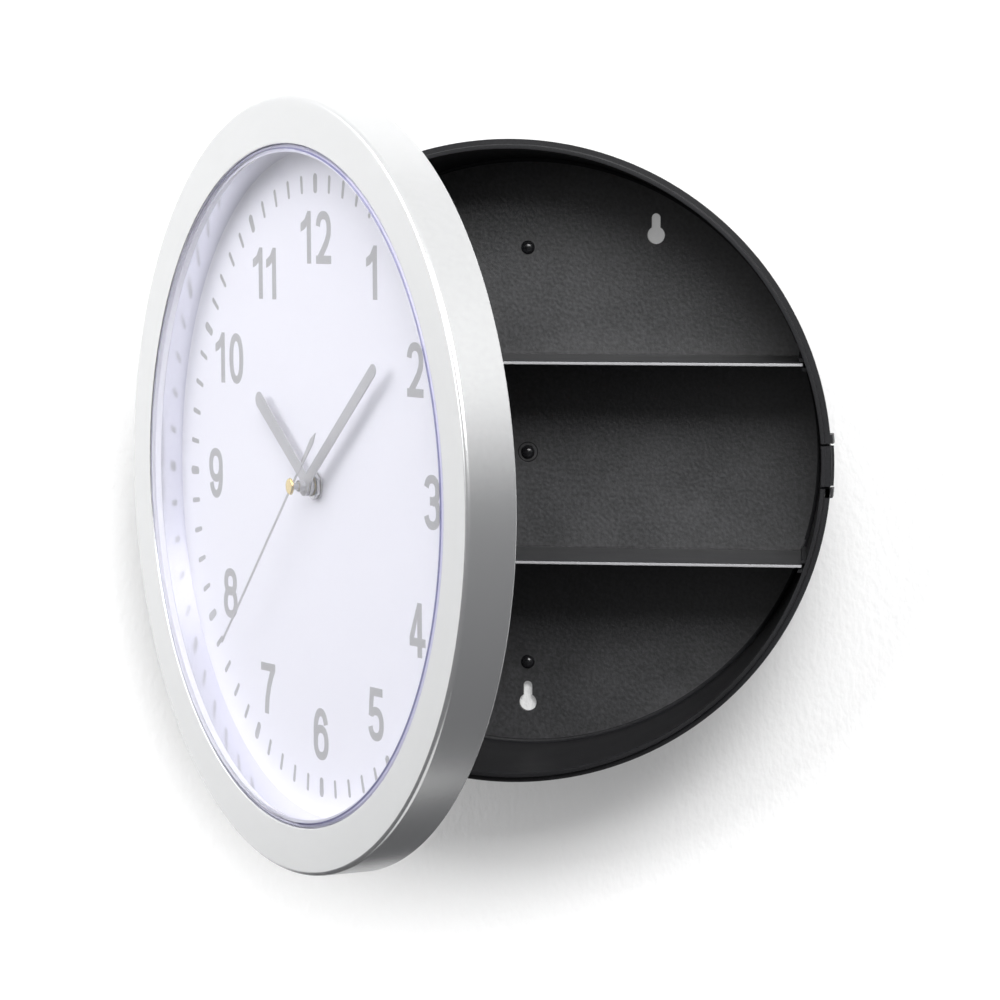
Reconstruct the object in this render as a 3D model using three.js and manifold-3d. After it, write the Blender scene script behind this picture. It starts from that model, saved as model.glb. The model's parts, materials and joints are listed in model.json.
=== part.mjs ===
// Clock diversion safe: a wall clock whose whole face is a hinged door in front of a round drum
// with two shelves. Millimetres, +Z up, the front faces -Y, the wall is at y = 0 behind the drum.
// The door is drawn closed, in depths counted back from its front plane, and then turned open.
import * as THREE from 'three';
import * as BufferGeometryUtils from 'three/addons/utils/BufferGeometryUtils.js';
import Module from 'manifold-3d';

const wasm = await Module();
wasm.setup();

// Roundness of what is turned
const LARGE_SIDES = 64;
const SMALL_SIDES = 16;
const PIN_SIDES = 10;

// Gap between pieces that lie against each other
const GAP = 0.3;
// How far a cut runs past a face, and how deep joined shapes bite into each other
const PAST = 1;
const BITE = 0.5;

// Drum
const DRUM_DEPTH = 54;
const DRUM_RIM_RADIUS = 113;
const DRUM_TAPER = 4.5;
const DRUM_BACK_ROUNDING = 3;
const DRUM_FLOOR = 2.2;
const COLLAR_STEP = 2;
const COLLAR_WALL = 1.5;
const COLLAR_HEIGHT = 2;
const DRUM_REAR_WALL = 2.3;

// Keyholes that hang the drum on wall screws
const KEYHOLE_RADIUS = 3.2;
const KEYHOLE_SLOT = 3.3;
const KEYHOLE_RISE = 6.15;
const UPPER_KEYHOLE_X = 46.3;
const UPPER_KEYHOLE_INSET = 34.5;
const LOWER_KEYHOLE_INSET = 21.6;

// Domed plugs in the floor
const UPPER_PLUG_INSET = 39;
const LOWER_PLUG_INSET = 36.5;
const PLUG_HEAD_RADIUS = 2.8;
const PLUG_HEAD_RISE = 1.7;
const PLUG_STEM_RADIUS = 1.6;
const PLUG_STEM_LENGTH = 1.2;
const PLUG_RING_RADIUS = 4.6;
const PLUG_RING_WIDTH = 0.9;
const PLUG_RING_DEPTH = 0.5;

// Shelves and the ribs that hold their ends
const SHELF_Z = 35;
const SHELF_THICKNESS = 1.3;
const SHELF_SETBACK = 2;
const SHELF_END_GAP = 0.4;
const RIB_HEIGHT = 1.4;
const RIB_THICKNESS = 1.3;
const RIB_SETBACK = 3;

// Latch tongue in the right side of the rim
const TONGUE_HALF_WIDTH = 7;
const TONGUE_SLOT = 0.8;
const TONGUE_LENGTH = 20;
const BEAD_RISE = 0.8;
const BEAD_WIDTH = 2.4;
const BEAD_SETBACK = 3.4;
const GUIDE_WIDTH = 3.2;
const GUIDE_LENGTH = 8;
const CATCH_LENGTH = 1.4;
const CATCH_SETBACK = 0.3;

// Hinge: its axis stands beside the drum, inside the thickness of the door
const HINGE_OUTSET = 5.6;
const HINGE_FORWARD = 3.2;
const KNUCKLE_RADIUS = 3.2;
const DOOR_KNUCKLE_HALF = 8;
const LUG_LENGTH = 9.4;
const LUG_GAP = 0.6;
const LUG_REACH = 9.5;
const LUG_FOOT = 3.7;
const LUG_EMBED = 2;
const PIN_RADIUS = 1.2;
const PIN_HEAD_RADIUS = 1.9;
const PIN_HEAD_THICKNESS = 0.8;
const HINGE_SLOT_MARGIN = 0.5;

// Door, open as far as it stands at rest
const DOOR_REST_ANGLE = 53.6;
const KNUCKLE_CLEARANCE = 3;
const DOOR_OVERLAP = 1.8;
const BEZEL_SKIRT = 2.2;
const BEZEL_FACE = 2.2;
const BEZEL_WIDTH = 15.5;
const BEZEL_ROUNDING = 1.4;
const BEZEL_BACK_BEVEL = 0.5;
const BEZEL_LIP_BEVEL = 0.4;
const SEAT_WALL = 1.3;

// Lens
const LENS_THICKNESS = 1.1;
const LENS_PROUD = 0.5;
const LENS_BEVEL_WIDTH = 1.8;
const LENS_BEVEL_DEPTH = 1.2;
const LENS_FLANGE = 2.0;

// Dial and the ring that spaces it from the lens
const DIAL_THICKNESS = 1;
const SPACER_WALL = 3.4;
const SPACER_TAPER = 0.5;

// Back cover of the door
const COVER_WALL = 2.2;
const COVER_DEPTH = 4;
const RECESS_CLEARANCE = 2;
const COVER_STEP_WALL = 2;
const COVER_BACK_INSET = 0.4;
const COVER_SCREWS = 6;
const SCREW_HEAD_RADIUS = 2.6;
const SCREW_HEAD_THICKNESS = 1;
const SCREW_RADIUS = 1.2;
const SCREW_LENGTH = 9.6;
const BOSS_RADIUS = 3;
const PILOT_SPARE = 1;

// Movement case
const CASE_WALL = 1.2;
const CASE_REAR_CLEARANCE = 1;
const CASE_TOP_CLEARANCE = 2.1;
const LID_THICKNESS = 1.2;
const WINDOW_CLEARANCE = 0.6;
const POST_RADIUS = 1.8;
const POST_CLEARANCE = 1.5;
const SLIM_POST_RADIUS = 1.2;
const MOTION_POST_RADIUS = 0.6;
const BOSS_WALL = 0.8;

// Cell and its bay
const CELL_RADIUS = 7.1;
const CELL_LENGTH = 48.8;
const CELL_NUB_RADIUS = 2.6;
const CELL_NUB_LENGTH = 1.4;
const CELL_CLEARANCE = 0.35;
const BAY_BOTTOM_WALL = 1.7;
const CONTACT_THICKNESS = 0.4;
const CONTACT_WIDTH = 5;
const CONTACT_DROP = 5;
const CONTACT_RISE = 4;
const CONTACT_DIMPLE = 1.1;
const STRIP_WIDTH = 0.8;

// Shafts, one inside the other
const SECOND_ARBOR_RADIUS = 0.5;
const MINUTE_TUBE_BORE = 0.8;
const MINUTE_TUBE_RADIUS = 1.4;
const HOUR_TUBE_BORE = 1.7;
const HOUR_TUBE_RADIUS = 2.3;
const BUSH_BORE = 2.6;
const BUSH_RADIUS = 3.2;
const BUSH_FLANGE_RADIUS = 5.5;
const BUSH_FLANGE_THICKNESS = 0.8;
const BUSH_PROUD = 0.2;
const ARBOR_RADIUS = 0.5;

// Gear train: teeth, centre distances and the bearings of the wheels round the middle, in degrees
const TEETH = {
  minute: 64, thirdPinion: 8, third: 60, secondPinion: 8, second: 60, fifthPinion: 12, fifth: 60,
  rotorPinion: 10, cannonPinion: 12, motion: 36, motionPinion: 10, hour: 40, knobPinion: 12,
};
const THIRD_DISTANCE = 10.8;
const THIRD_BEARING = 20;
const FIFTH_DISTANCE = 11;
const FIFTH_BEARING = 100;
const ROTOR_DISTANCE = 7;
const ROTOR_BEARING = 60;
const MOTION_DISTANCE = 9.6;
const MOTION_BEARING = 160;
const KNOB_BEARING = 152;
const TOOTH_BACKOFF = 0.17;
const TOOTH_DEPTH = 1.2;
const LOW_LEFT_POST_BEARING = 262;
const LOW_RIGHT_POST_BEARING = 309;
const HIGH_POST_BEARING = 141;

const WHEEL_THICKNESS = 0.7;
const WHEEL_GAP = 0.4;
const TRAIN_CLEARANCE = 0.8;
const BRIDGE_THICKNESS = 1;
const BRIDGE_MARGIN = 3.6;

// Stepping motor
const ROTOR_MAGNET_RADIUS = 2.6;
const ROTOR_MAGNET_LENGTH = 2.2;
const STATOR_THICKNESS = 1;
const STATOR_AIR_GAP = 0.5;
const STATOR_RIM = 1.4;
const STATOR_END = 3;
const STATOR_LIMB = 1.5;
const STATOR_POST_INSET = 1.6;
const COIL_OFFSET = 4.3;
const COIL_RADIUS = 3.5;
const COIL_BORE = 1.9;
const COIL_WINDING_RADIUS = 3;
const COIL_FLANGE = 1;
const COIL_END_GAP = 0.9;
const CORE_WIDTH = 2.8;

// Circuit board, its chip and the quartz can
const BOARD_THICKNESS = 1;
const BOARD_WIDTH = 12.6;
const BOARD_HEIGHT = 14.3;
const BOARD_POST_INSET = 2.8;
const CHIP_RADIUS = 2.2;
const CHIP_RISE = 0.8;
const CHIP_INSET = 4;
const CRYSTAL_RADIUS = 1;
const CRYSTAL_LENGTH = 6;
const CRYSTAL_INSET = 3.3;

// Setting knob behind the lid
const KNOB_RADIUS = 5.5;
const KNOB_THICKNESS = 2;
const KNOB_SHAFT_RADIUS = 1;
const KNOB_GRIPS = 12;
const KNOB_GRIP_DEPTH = 0.5;

// Nut, washer and hands
const WASHER_THICKNESS = 0.4;
const WASHER_RADIUS = 4.6;
const NUT_FLATS = 8.6;
const NUT_THICKNESS = 1.1;
const HAND_THICKNESS = 0.4;
const HAND_HUB_RADIUS = 3.3;
const HAND_GAP = 0.7;
const HOUR_HAND = { length: 50, width: 5.4, root: 4.6, hub: 1.2 };
const MINUTE_HAND = { length: 67, width: 4.2, root: 4.2, hub: 0.7 };
const MINUTE_COLLET_RADIUS = 1.95;
const MINUTE_COLLET_LENGTH = 1.8;
const SECOND_HAND = { length: 81.5, width: 0.9, tail: 24.5, tailWidth: 2.5, tailPoint: 4 };
const SECOND_HUB_RADIUS = 1.7;
const SECOND_PIPE_RADIUS = 1.1;
const SECOND_PIPE_LENGTH = 1.9;
const SECOND_BLADE = 0.3;
const CAP_RADIUS = 2.8;
const CAP_THICKNESS = 0.6;
const CAP_CLEARANCE = 0.4;
const SHOWN_TIME = { hours: 10, minutes: 8, seconds: 37.4 };

// Materials
const material = (color, roughness, metalness, more = {}) =>
  new THREE.MeshStandardMaterial({ color, roughness, metalness, ...more });
const materials = {
  drum: material(0x1b1c1f, 0.6, 0),
  shelf: material(0x26272a, 0.45, 0),
  bezel: material(0xdfe1e2, 0.35, 0.3),
  lens: material(0xf2f2ff, 0.05, 0, { transparent: true, opacity: 0.2 }),
  spacer: material(0xe4e4ee, 0.5, 0),
  dial: material(0xf1f1fa, 0.6, 0),
  hand: material(0xb4b4b8, 0.4, 0.4),
  brass: material(0xd8b964, 0.3, 0.9),
  steel: material(0xb9bbbe, 0.3, 0.9),
  blackPlastic: material(0x202124, 0.55, 0),
  whitePlastic: material(0xe9e7df, 0.5, 0),
  redPlastic: material(0xb8402c, 0.5, 0),
  copper: material(0xb56b3a, 0.4, 0.7),
  magnet: material(0x55575c, 0.4, 0.6),
  board: material(0x2f6b43, 0.6, 0),
  cell: material(0x3c4654, 0.4, 0.2),
};

// Solids: a geometry becomes a solid to be joined and cut, and goes back to a geometry at the end
function solid(geometry) {
  const bare = geometry.index ? geometry.toNonIndexed() : geometry.clone();
  bare.deleteAttribute('normal');
  bare.deleteAttribute('uv');
  const merged = BufferGeometryUtils.mergeVertices(bare, 1e-4);
  const corners = merged.index.array;
  const kept = [];
  for (let i = 0; i < corners.length; i += 3) {
    const [a, b, c] = [corners[i], corners[i + 1], corners[i + 2]];
    if (a !== b && b !== c && c !== a) kept.push(a, b, c);
  }
  const mesh = new wasm.Mesh({
    numProp: 3,
    vertProperties: new Float32Array(merged.attributes.position.array),
    triVerts: new Uint32Array(kept),
  });
  mesh.merge();
  return new wasm.Manifold(mesh);
}

function geometryOf(manifold) {
  const mesh = manifold.getMesh();
  const geometry = new THREE.BufferGeometry();
  geometry.setAttribute('position', new THREE.BufferAttribute(new Float32Array(mesh.vertProperties), 3));
  geometry.setIndex(new THREE.BufferAttribute(new Uint32Array(mesh.triVerts), 1));
  return geometry;
}

const join = (...solids) => solids.reduce((sum, next) => sum.add(next));
const cut = (from, ...tools) => tools.reduce((rest, tool) => rest.subtract(tool), from);

// A closed profile of [radius, depth] points turned about the Y axis
function turned(profile, sides = LARGE_SIDES) {
  const points = profile.map(([radius, depth]) => new THREE.Vector2(radius, depth));
  const onAxis = profile[0][0] === 0 && profile[profile.length - 1][0] === 0;
  if (!onAxis) points.push(points[0].clone());
  return solid(new THREE.LatheGeometry(points, sides));
}

// A disc or tube along Y between two depths
function disc(radius, front, back, x = 0, z = 0, sides = SMALL_SIDES) {
  const geometry = new THREE.CylinderGeometry(radius, radius, back - front, sides);
  return solid(geometry.translate(x, (front + back) / 2, z));
}

function tube(bore, radius, front, back, sides = SMALL_SIDES) {
  return turned([[bore, front], [radius, front], [radius, back], [bore, back]], sides);
}

// A pin along Z, and one along X
function upright(radius, low, high, x, y, sides = SMALL_SIDES) {
  const geometry = new THREE.CylinderGeometry(radius, radius, high - low, sides);
  return solid(geometry.rotateX(Math.PI / 2).translate(x, y, (low + high) / 2));
}

function lying(radius, left, right, y, z, sides = SMALL_SIDES) {
  const geometry = new THREE.CylinderGeometry(radius, radius, right - left, sides);
  return solid(geometry.rotateZ(Math.PI / 2).translate((left + right) / 2, y, z));
}

// A box from its lowest to its highest corner
function block([x0, y0, z0], [x1, y1, z1]) {
  const geometry = new THREE.BoxGeometry(x1 - x0, y1 - y0, z1 - z0);
  return solid(geometry.translate((x0 + x1) / 2, (y0 + y1) / 2, (z0 + z1) / 2));
}

// A flat shape drawn as seen from the front, X right and Z up, between two depths
function plate(shape, front, back) {
  const geometry = new THREE.ExtrudeGeometry(shape, { depth: back - front, bevelEnabled: false, curveSegments: 12 });
  return solid(geometry.rotateX(Math.PI / 2).translate(0, back, 0));
}

const outline = (points) => new THREE.Shape(points.map(([x, z]) => new THREE.Vector2(x, z)));

// A polar place round the middle, its bearing counted from +X towards +Z
function place(distance, bearing, from = [0, 0]) {
  const angle = THREE.MathUtils.degToRad(bearing);
  return [from[0] + distance * Math.cos(angle), from[1] + distance * Math.sin(angle)];
}

function add(group, name, shape, look, position = [0, 0, 0]) {
  const mesh = new THREE.Mesh(geometryOf(shape), look);
  mesh.name = name;
  mesh.position.set(...position);
  group.add(mesh);
  return mesh;
}

const safe = new THREE.Group();

// Drum. Its wall leans in towards the back, and a thin collar stands round its mouth.
const rimY = -DRUM_DEPTH;
const shoulderY = rimY + COLLAR_HEIGHT;
const floorY = -DRUM_FLOOR;
const collarRadius = DRUM_RIM_RADIUS - COLLAR_STEP;
const collarInnerRadius = collarRadius - COLLAR_WALL;
const backRadius = DRUM_RIM_RADIUS - DRUM_TAPER;
const rearInnerRadius = backRadius - DRUM_REAR_WALL;

function innerRadiusAt(y) {
  const share = (y - rimY) / (floorY - rimY);
  return collarInnerRadius + share * (rearInnerRadius - collarInnerRadius);
}

function outerRadiusAt(y) {
  const share = (y - shoulderY) / (0 - shoulderY);
  return DRUM_RIM_RADIUS - share * DRUM_TAPER;
}

const roundedBack = [0, 1, 2, 3].map((step) => {
  const angle = (step / 3) * (Math.PI / 2);
  const inset = DRUM_BACK_ROUNDING * (1 - Math.cos(angle));
  const depth = -DRUM_BACK_ROUNDING * (1 - Math.sin(angle));
  return [outerRadiusAt(-DRUM_BACK_ROUNDING) - inset, depth];
});

const drumShell = turned([
  [0, floorY],
  [rearInnerRadius, floorY],
  [collarInnerRadius, rimY],
  [collarRadius, rimY],
  [collarRadius, shoulderY],
  [DRUM_RIM_RADIUS, shoulderY],
  ...roundedBack,
  [0, 0],
]);

// Keyhole: a round hole with a narrow slot rising from it
function keyhole(x, z) {
  const hole = disc(KEYHOLE_RADIUS, floorY - PAST, PAST, x, z);
  const slot = block(
    [x - KEYHOLE_SLOT / 2, floorY - PAST, z],
    [x + KEYHOLE_SLOT / 2, PAST, z + KEYHOLE_RISE],
  );
  const slotEnd = disc(KEYHOLE_SLOT / 2, floorY - PAST, PAST, x, z + KEYHOLE_RISE, PIN_SIDES);
  return join(hole, slot, slotEnd);
}

// Ribs above and below each end of a shelf, cut from a liner that follows the wall
const ribFrontY = rimY + RIB_SETBACK;
const ribBackY = floorY + BITE;
const ribLiner = turned([
  [innerRadiusAt(ribBackY) - RIB_HEIGHT, ribBackY],
  [innerRadiusAt(ribFrontY) - RIB_HEIGHT, ribFrontY],
  [innerRadiusAt(ribFrontY) + BITE, ribFrontY],
  [innerRadiusAt(ribBackY) + BITE, ribBackY],
]);
const slotHalf = SHELF_THICKNESS / 2 + GAP;
const ribs = [];
for (const level of [SHELF_Z, -SHELF_Z]) {
  for (const bottom of [level + slotHalf, level - slotHalf - RIB_THICKNESS]) {
    const slice = block([-DRUM_RIM_RADIUS, rimY, bottom], [DRUM_RIM_RADIUS, 0, bottom + RIB_THICKNESS]);
    ribs.push(ribLiner.intersect(slice));
  }
}

// Lugs that carry the hinge pin: a knuckle, an arm straight back from it and a foot in the wall
const hingeX = -(DRUM_RIM_RADIUS + HINGE_OUTSET);
const hingeY = rimY - HINGE_FORWARD;
const lugLow = DOOR_KNUCKLE_HALF + LUG_GAP;
const lugHigh = lugLow + LUG_LENGTH;

function lug(low, high) {
  const backY = hingeY + LUG_REACH;
  const wallX = -Math.sqrt(outerRadiusAt(backY) ** 2 - lugHigh ** 2);
  const knuckle = upright(KNUCKLE_RADIUS, low, high, hingeX, hingeY);
  const arm = block([hingeX, hingeY, low], [hingeX + KNUCKLE_RADIUS, backY, high]);
  const foot = block([hingeX, backY - LUG_FOOT, low], [wallX + LUG_EMBED, backY, high]);
  return join(knuckle, arm, foot);
}
const pinHole = upright(PIN_RADIUS + GAP, -lugHigh - PAST, lugHigh + PAST, hingeX, hingeY, PIN_SIDES);

// Latch tongue, freed from the rim by a slot on each side, between two guides
const tongueRootY = rimY + TONGUE_LENGTH;
const tongueWindowHalf = TONGUE_HALF_WIDTH + TONGUE_SLOT;
const latchInnerX = rearInnerRadius - DRUM_REAR_WALL;
const latchOuterX = DRUM_RIM_RADIUS + 2 * BEAD_RISE;
const tongueBox = block(
  [latchInnerX, rimY - PAST, -TONGUE_HALF_WIDTH],
  [latchOuterX, tongueRootY, TONGUE_HALF_WIDTH],
);
const tongueWindow = block(
  [latchInnerX, rimY - PAST, -tongueWindowHalf],
  [latchOuterX, tongueRootY + GAP, tongueWindowHalf],
);
const wallMiddleRadius = collarRadius - COLLAR_WALL / 2;
const beadY = shoulderY + BEAD_SETBACK;
const bead = turned([
  [wallMiddleRadius, beadY - BEAD_WIDTH / 2],
  [outerRadiusAt(beadY), beadY - BEAD_WIDTH / 2],
  [DRUM_RIM_RADIUS + BEAD_RISE, beadY],
  [outerRadiusAt(beadY), beadY + BEAD_WIDTH / 2],
  [wallMiddleRadius, beadY + BEAD_WIDTH / 2],
]).intersect(tongueBox);

// The catch on the tongue bears on the edge of the recess in the door's cover
const recessRadius = collarRadius + RECESS_CLEARANCE;
const catchFront = rimY + CATCH_SETBACK;
const catchBack = catchFront + CATCH_LENGTH;
const latchCatch = turned([
  [wallMiddleRadius, catchFront],
  [collarRadius, catchFront],
  [recessRadius - GAP, (catchFront + catchBack) / 2],
  [collarRadius, catchBack],
  [wallMiddleRadius, catchBack],
]).intersect(tongueBox);
const guideBand = turned([
  [wallMiddleRadius, shoulderY],
  [DRUM_RIM_RADIUS + BEAD_RISE, shoulderY],
  [DRUM_RIM_RADIUS + BEAD_RISE, shoulderY + GUIDE_LENGTH],
  [wallMiddleRadius, shoulderY + GUIDE_LENGTH],
]);
const guides = [tongueWindowHalf, -tongueWindowHalf - GUIDE_WIDTH].map((bottom) =>
  guideBand.intersect(block([latchInnerX, rimY, bottom], [latchOuterX, tongueRootY, bottom + GUIDE_WIDTH])));

const plugHeights = {
  upper: DRUM_RIM_RADIUS - UPPER_PLUG_INSET,
  middle: 0,
  lower: LOWER_PLUG_INSET - DRUM_RIM_RADIUS,
};
const plugSockets = Object.values(plugHeights).map((z) =>
  disc(PLUG_STEM_RADIUS + GAP, floorY - PAST, floorY + PLUG_STEM_LENGTH + GAP / 2, 0, z, PIN_SIDES));
const plugRing = tube(PLUG_RING_RADIUS - PLUG_RING_WIDTH, PLUG_RING_RADIUS, floorY - PAST, floorY + PLUG_RING_DEPTH);

const upperKeyholeZ = DRUM_RIM_RADIUS - UPPER_KEYHOLE_INSET;
const backCase = cut(
  join(drumShell, ...ribs, ...guides, lug(lugLow, lugHigh), lug(-lugHigh, -lugLow)),
  keyhole(UPPER_KEYHOLE_X, upperKeyholeZ),
  keyhole(-UPPER_KEYHOLE_X, upperKeyholeZ),
  keyhole(0, LOWER_KEYHOLE_INSET - DRUM_RIM_RADIUS),
  ...plugSockets,
  plugRing,
  tongueWindow,
  pinHole,
);
add(safe, 'back_case', backCase, materials.drum);
add(safe, 'latch_tongue', join(drumShell.intersect(tongueBox), bead, latchCatch), materials.drum);

// Domed plugs
const domeSteps = [0, 1, 2, 3, 4].map((step) => {
  const angle = (step / 4) * (Math.PI / 2);
  return [PLUG_HEAD_RADIUS * Math.sin(angle), -PLUG_HEAD_RISE * Math.cos(angle)];
});
const plug = turned([
  ...domeSteps,
  [PLUG_STEM_RADIUS, 0],
  [PLUG_STEM_RADIUS, PLUG_STEM_LENGTH],
  [0, PLUG_STEM_LENGTH],
], SMALL_SIDES);
for (const [name, z] of Object.entries(plugHeights)) {
  add(safe, `back_plug_${name}`, plug, materials.blackPlastic, [0, floorY - GAP / 3, z]);
}

// Shelves: flat plates as wide as the drum at their height, narrower towards the back
const shelfFrontY = rimY + SHELF_SETBACK;
const shelfBackY = floorY - GAP;
const shelfHalfWidth = (y) =>
  Math.sqrt(innerRadiusAt(y) ** 2 - (SHELF_Z + SHELF_THICKNESS / 2) ** 2) - SHELF_END_GAP;
const shelfOutline = outline([
  [-shelfHalfWidth(shelfFrontY), shelfFrontY],
  [shelfHalfWidth(shelfFrontY), shelfFrontY],
  [shelfHalfWidth(shelfBackY), shelfBackY],
  [-shelfHalfWidth(shelfBackY), shelfBackY],
]);
const shelf = solid(new THREE.ExtrudeGeometry(shelfOutline, { depth: SHELF_THICKNESS, bevelEnabled: false }));
add(safe, 'shelf_upper', shelf, materials.shelf, [0, 0, SHELF_Z - SHELF_THICKNESS / 2]);
add(safe, 'shelf_lower', shelf, materials.shelf, [0, 0, -SHELF_Z - SHELF_THICKNESS / 2]);

// Hinge pin, its head on top of the upper lug
const pinHeadZ = lugHigh + GAP;
const hingePin = join(
  upright(PIN_RADIUS, -lugHigh, pinHeadZ + PIN_HEAD_THICKNESS / 2, hingeX, hingeY, PIN_SIDES),
  upright(PIN_HEAD_RADIUS, pinHeadZ, pinHeadZ + PIN_HEAD_THICKNESS, hingeX, hingeY, PIN_SIDES),
);
add(safe, 'hinge_pin', hingePin, materials.steel);

// Depths in the door, counted back from the bezel's front plane: lens, cap, hands, nut, dial, cover
const lensBack = LENS_THICKNESS - LENS_PROUD;
const capFront = lensBack + CAP_CLEARANCE;
const capBack = capFront + CAP_THICKNESS;
const secondFront = capBack + GAP;
const secondBack = secondFront + SECOND_BLADE;
const secondPipeBack = secondBack + SECOND_PIPE_LENGTH;
const colletFront = secondPipeBack + GAP;
const minuteFront = colletFront + MINUTE_COLLET_LENGTH;
const minuteHubBack = minuteFront + MINUTE_HAND.hub;
const hourFront = minuteHubBack + HAND_GAP;
const hourHubBack = hourFront + HOUR_HAND.hub;
const bushFront = hourHubBack + GAP;
const nutFront = bushFront + BUSH_PROUD;
const nutBack = nutFront + NUT_THICKNESS;
const washerFront = nutBack + GAP;
const washerBack = washerFront + WASHER_THICKNESS;
const dialFront = washerBack + GAP;
const dialBack = dialFront + DIAL_THICKNESS;
const coverFront = dialBack + GAP;
const coverBack = coverFront + COVER_DEPTH;
const coverEdgeFront = coverBack - COVER_WALL;
const doorThickness = coverBack + COVER_BACK_INSET;
const doorRadius = DRUM_RIM_RADIUS + HINGE_OUTSET + KNUCKLE_RADIUS + KNUCKLE_CLEARANCE + BEZEL_SKIRT;

// Door, drawn closed and turned open about the hinge
const frontY = rimY + DOOR_OVERLAP - doorThickness;
const hingeDepth = hingeY - frontY;
const door = new THREE.Group();
door.position.set(hingeX, hingeY, 0);
door.rotation.z = -THREE.MathUtils.degToRad(DOOR_REST_ANGLE);
safe.add(door);
const clock = new THREE.Group();
clock.position.set(-hingeX, frontY - hingeY, 0);
door.add(clock);

const openingRadius = doorRadius - BEZEL_WIDTH;
const seatRadius = openingRadius + LENS_FLANGE;
const seatInnerRadius = seatRadius + GAP;
const seatOuterRadius = seatInnerRadius + SEAT_WALL;
const seatEnd = dialBack + GAP / 3;
const skirtInnerRadius = doorRadius - BEZEL_SKIRT;

// Slots that let the lugs swing through the back and the side of the door
function lugSlots(left, right) {
  return [[lugLow, lugHigh], [-lugHigh, -lugLow]].map(([low, high]) => block(
    [left, hingeDepth - HINGE_SLOT_MARGIN, low - HINGE_SLOT_MARGIN],
    [right, doorThickness + PAST, high + HINGE_SLOT_MARGIN],
  ));
}
const doorLeft = -doorRadius - PAST;

const screwCircleRadius = (seatOuterRadius + skirtInnerRadius) / 2;
const screwPlaces = Array.from({ length: COVER_SCREWS }, (_, i) =>
  place(screwCircleRadius, (i + 0.5) * (360 / COVER_SCREWS)));
const screwHeadFront = coverBack - SCREW_HEAD_THICKNESS;
const screwTip = screwHeadFront - SCREW_LENGTH;
const bossEnd = coverEdgeFront - GAP;

// Bezel: face and outer skirt in one, with a wall that seats the lens and dial, and screw bosses
const frontRounding = [1, 2, 3].map((step) => {
  const angle = (step / 3) * (Math.PI / 2);
  return [
    doorRadius - BEZEL_ROUNDING * (1 - Math.sin(angle)),
    BEZEL_ROUNDING * (1 - Math.cos(angle)),
  ];
});
const bezelRing = turned([
  [openingRadius, BEZEL_LIP_BEVEL],
  [openingRadius + BEZEL_LIP_BEVEL, 0],
  [doorRadius - BEZEL_ROUNDING, 0],
  ...frontRounding,
  [doorRadius, doorThickness - BEZEL_BACK_BEVEL],
  [doorRadius - BEZEL_BACK_BEVEL, doorThickness],
  [skirtInnerRadius, doorThickness],
  [skirtInnerRadius, BEZEL_FACE],
  [seatOuterRadius, BEZEL_FACE],
  [seatOuterRadius, seatEnd],
  [seatInnerRadius, seatEnd],
  [seatInnerRadius, BEZEL_FACE],
  [openingRadius, BEZEL_FACE],
]);
const screwBosses = screwPlaces.map(([x, z]) => disc(BOSS_RADIUS, BEZEL_FACE / 2, bossEnd, x, z, PIN_SIDES));
const pilotHoles = screwPlaces.map(([x, z]) =>
  disc(SCREW_RADIUS + GAP, screwTip - PILOT_SPARE, bossEnd + PAST, x, z, PIN_SIDES));
add(
  clock,
  'bezel_ring',
  cut(join(bezelRing, ...screwBosses), ...pilotHoles, ...lugSlots(doorLeft, hingeX - KNUCKLE_RADIUS)),
  materials.bezel,
);

// Lens: a shallow pan whose flat face stands a little proud, with a bevel round it and a flange behind
const lensWallRadius = openingRadius - GAP;
const lensFaceRadius = lensWallRadius - LENS_BEVEL_WIDTH;
const lensInnerRadius = lensWallRadius - LENS_THICKNESS;
const flangeFront = BEZEL_FACE + GAP;
const flangeBack = flangeFront + LENS_THICKNESS;
const lens = turned([
  [0, -LENS_PROUD],
  [lensFaceRadius, -LENS_PROUD],
  [lensWallRadius, LENS_BEVEL_DEPTH - LENS_PROUD],
  [lensWallRadius, flangeFront],
  [seatRadius, flangeFront],
  [seatRadius, flangeBack],
  [lensInnerRadius, flangeBack],
  [lensInnerRadius, lensBack + LENS_BEVEL_DEPTH / 2],
  [lensFaceRadius - LENS_THICKNESS / 2, lensBack],
  [0, lensBack],
]);
add(clock, 'lens', lens, materials.lens);

// Ring between the lens and the dial, and the dial itself
const spacerInnerRadius = seatRadius - SPACER_WALL;
const spacer = turned([
  [spacerInnerRadius, flangeBack + GAP],
  [seatRadius, flangeBack + GAP],
  [seatRadius, dialFront - GAP],
  [spacerInnerRadius - SPACER_TAPER, dialFront - GAP],
]);
add(clock, 'spacer_ring', spacer, materials.spacer);
add(clock, 'dial', tube(BUSH_RADIUS + GAP, seatRadius, dialFront, dialBack, LARGE_SIDES), materials.dial);

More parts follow.
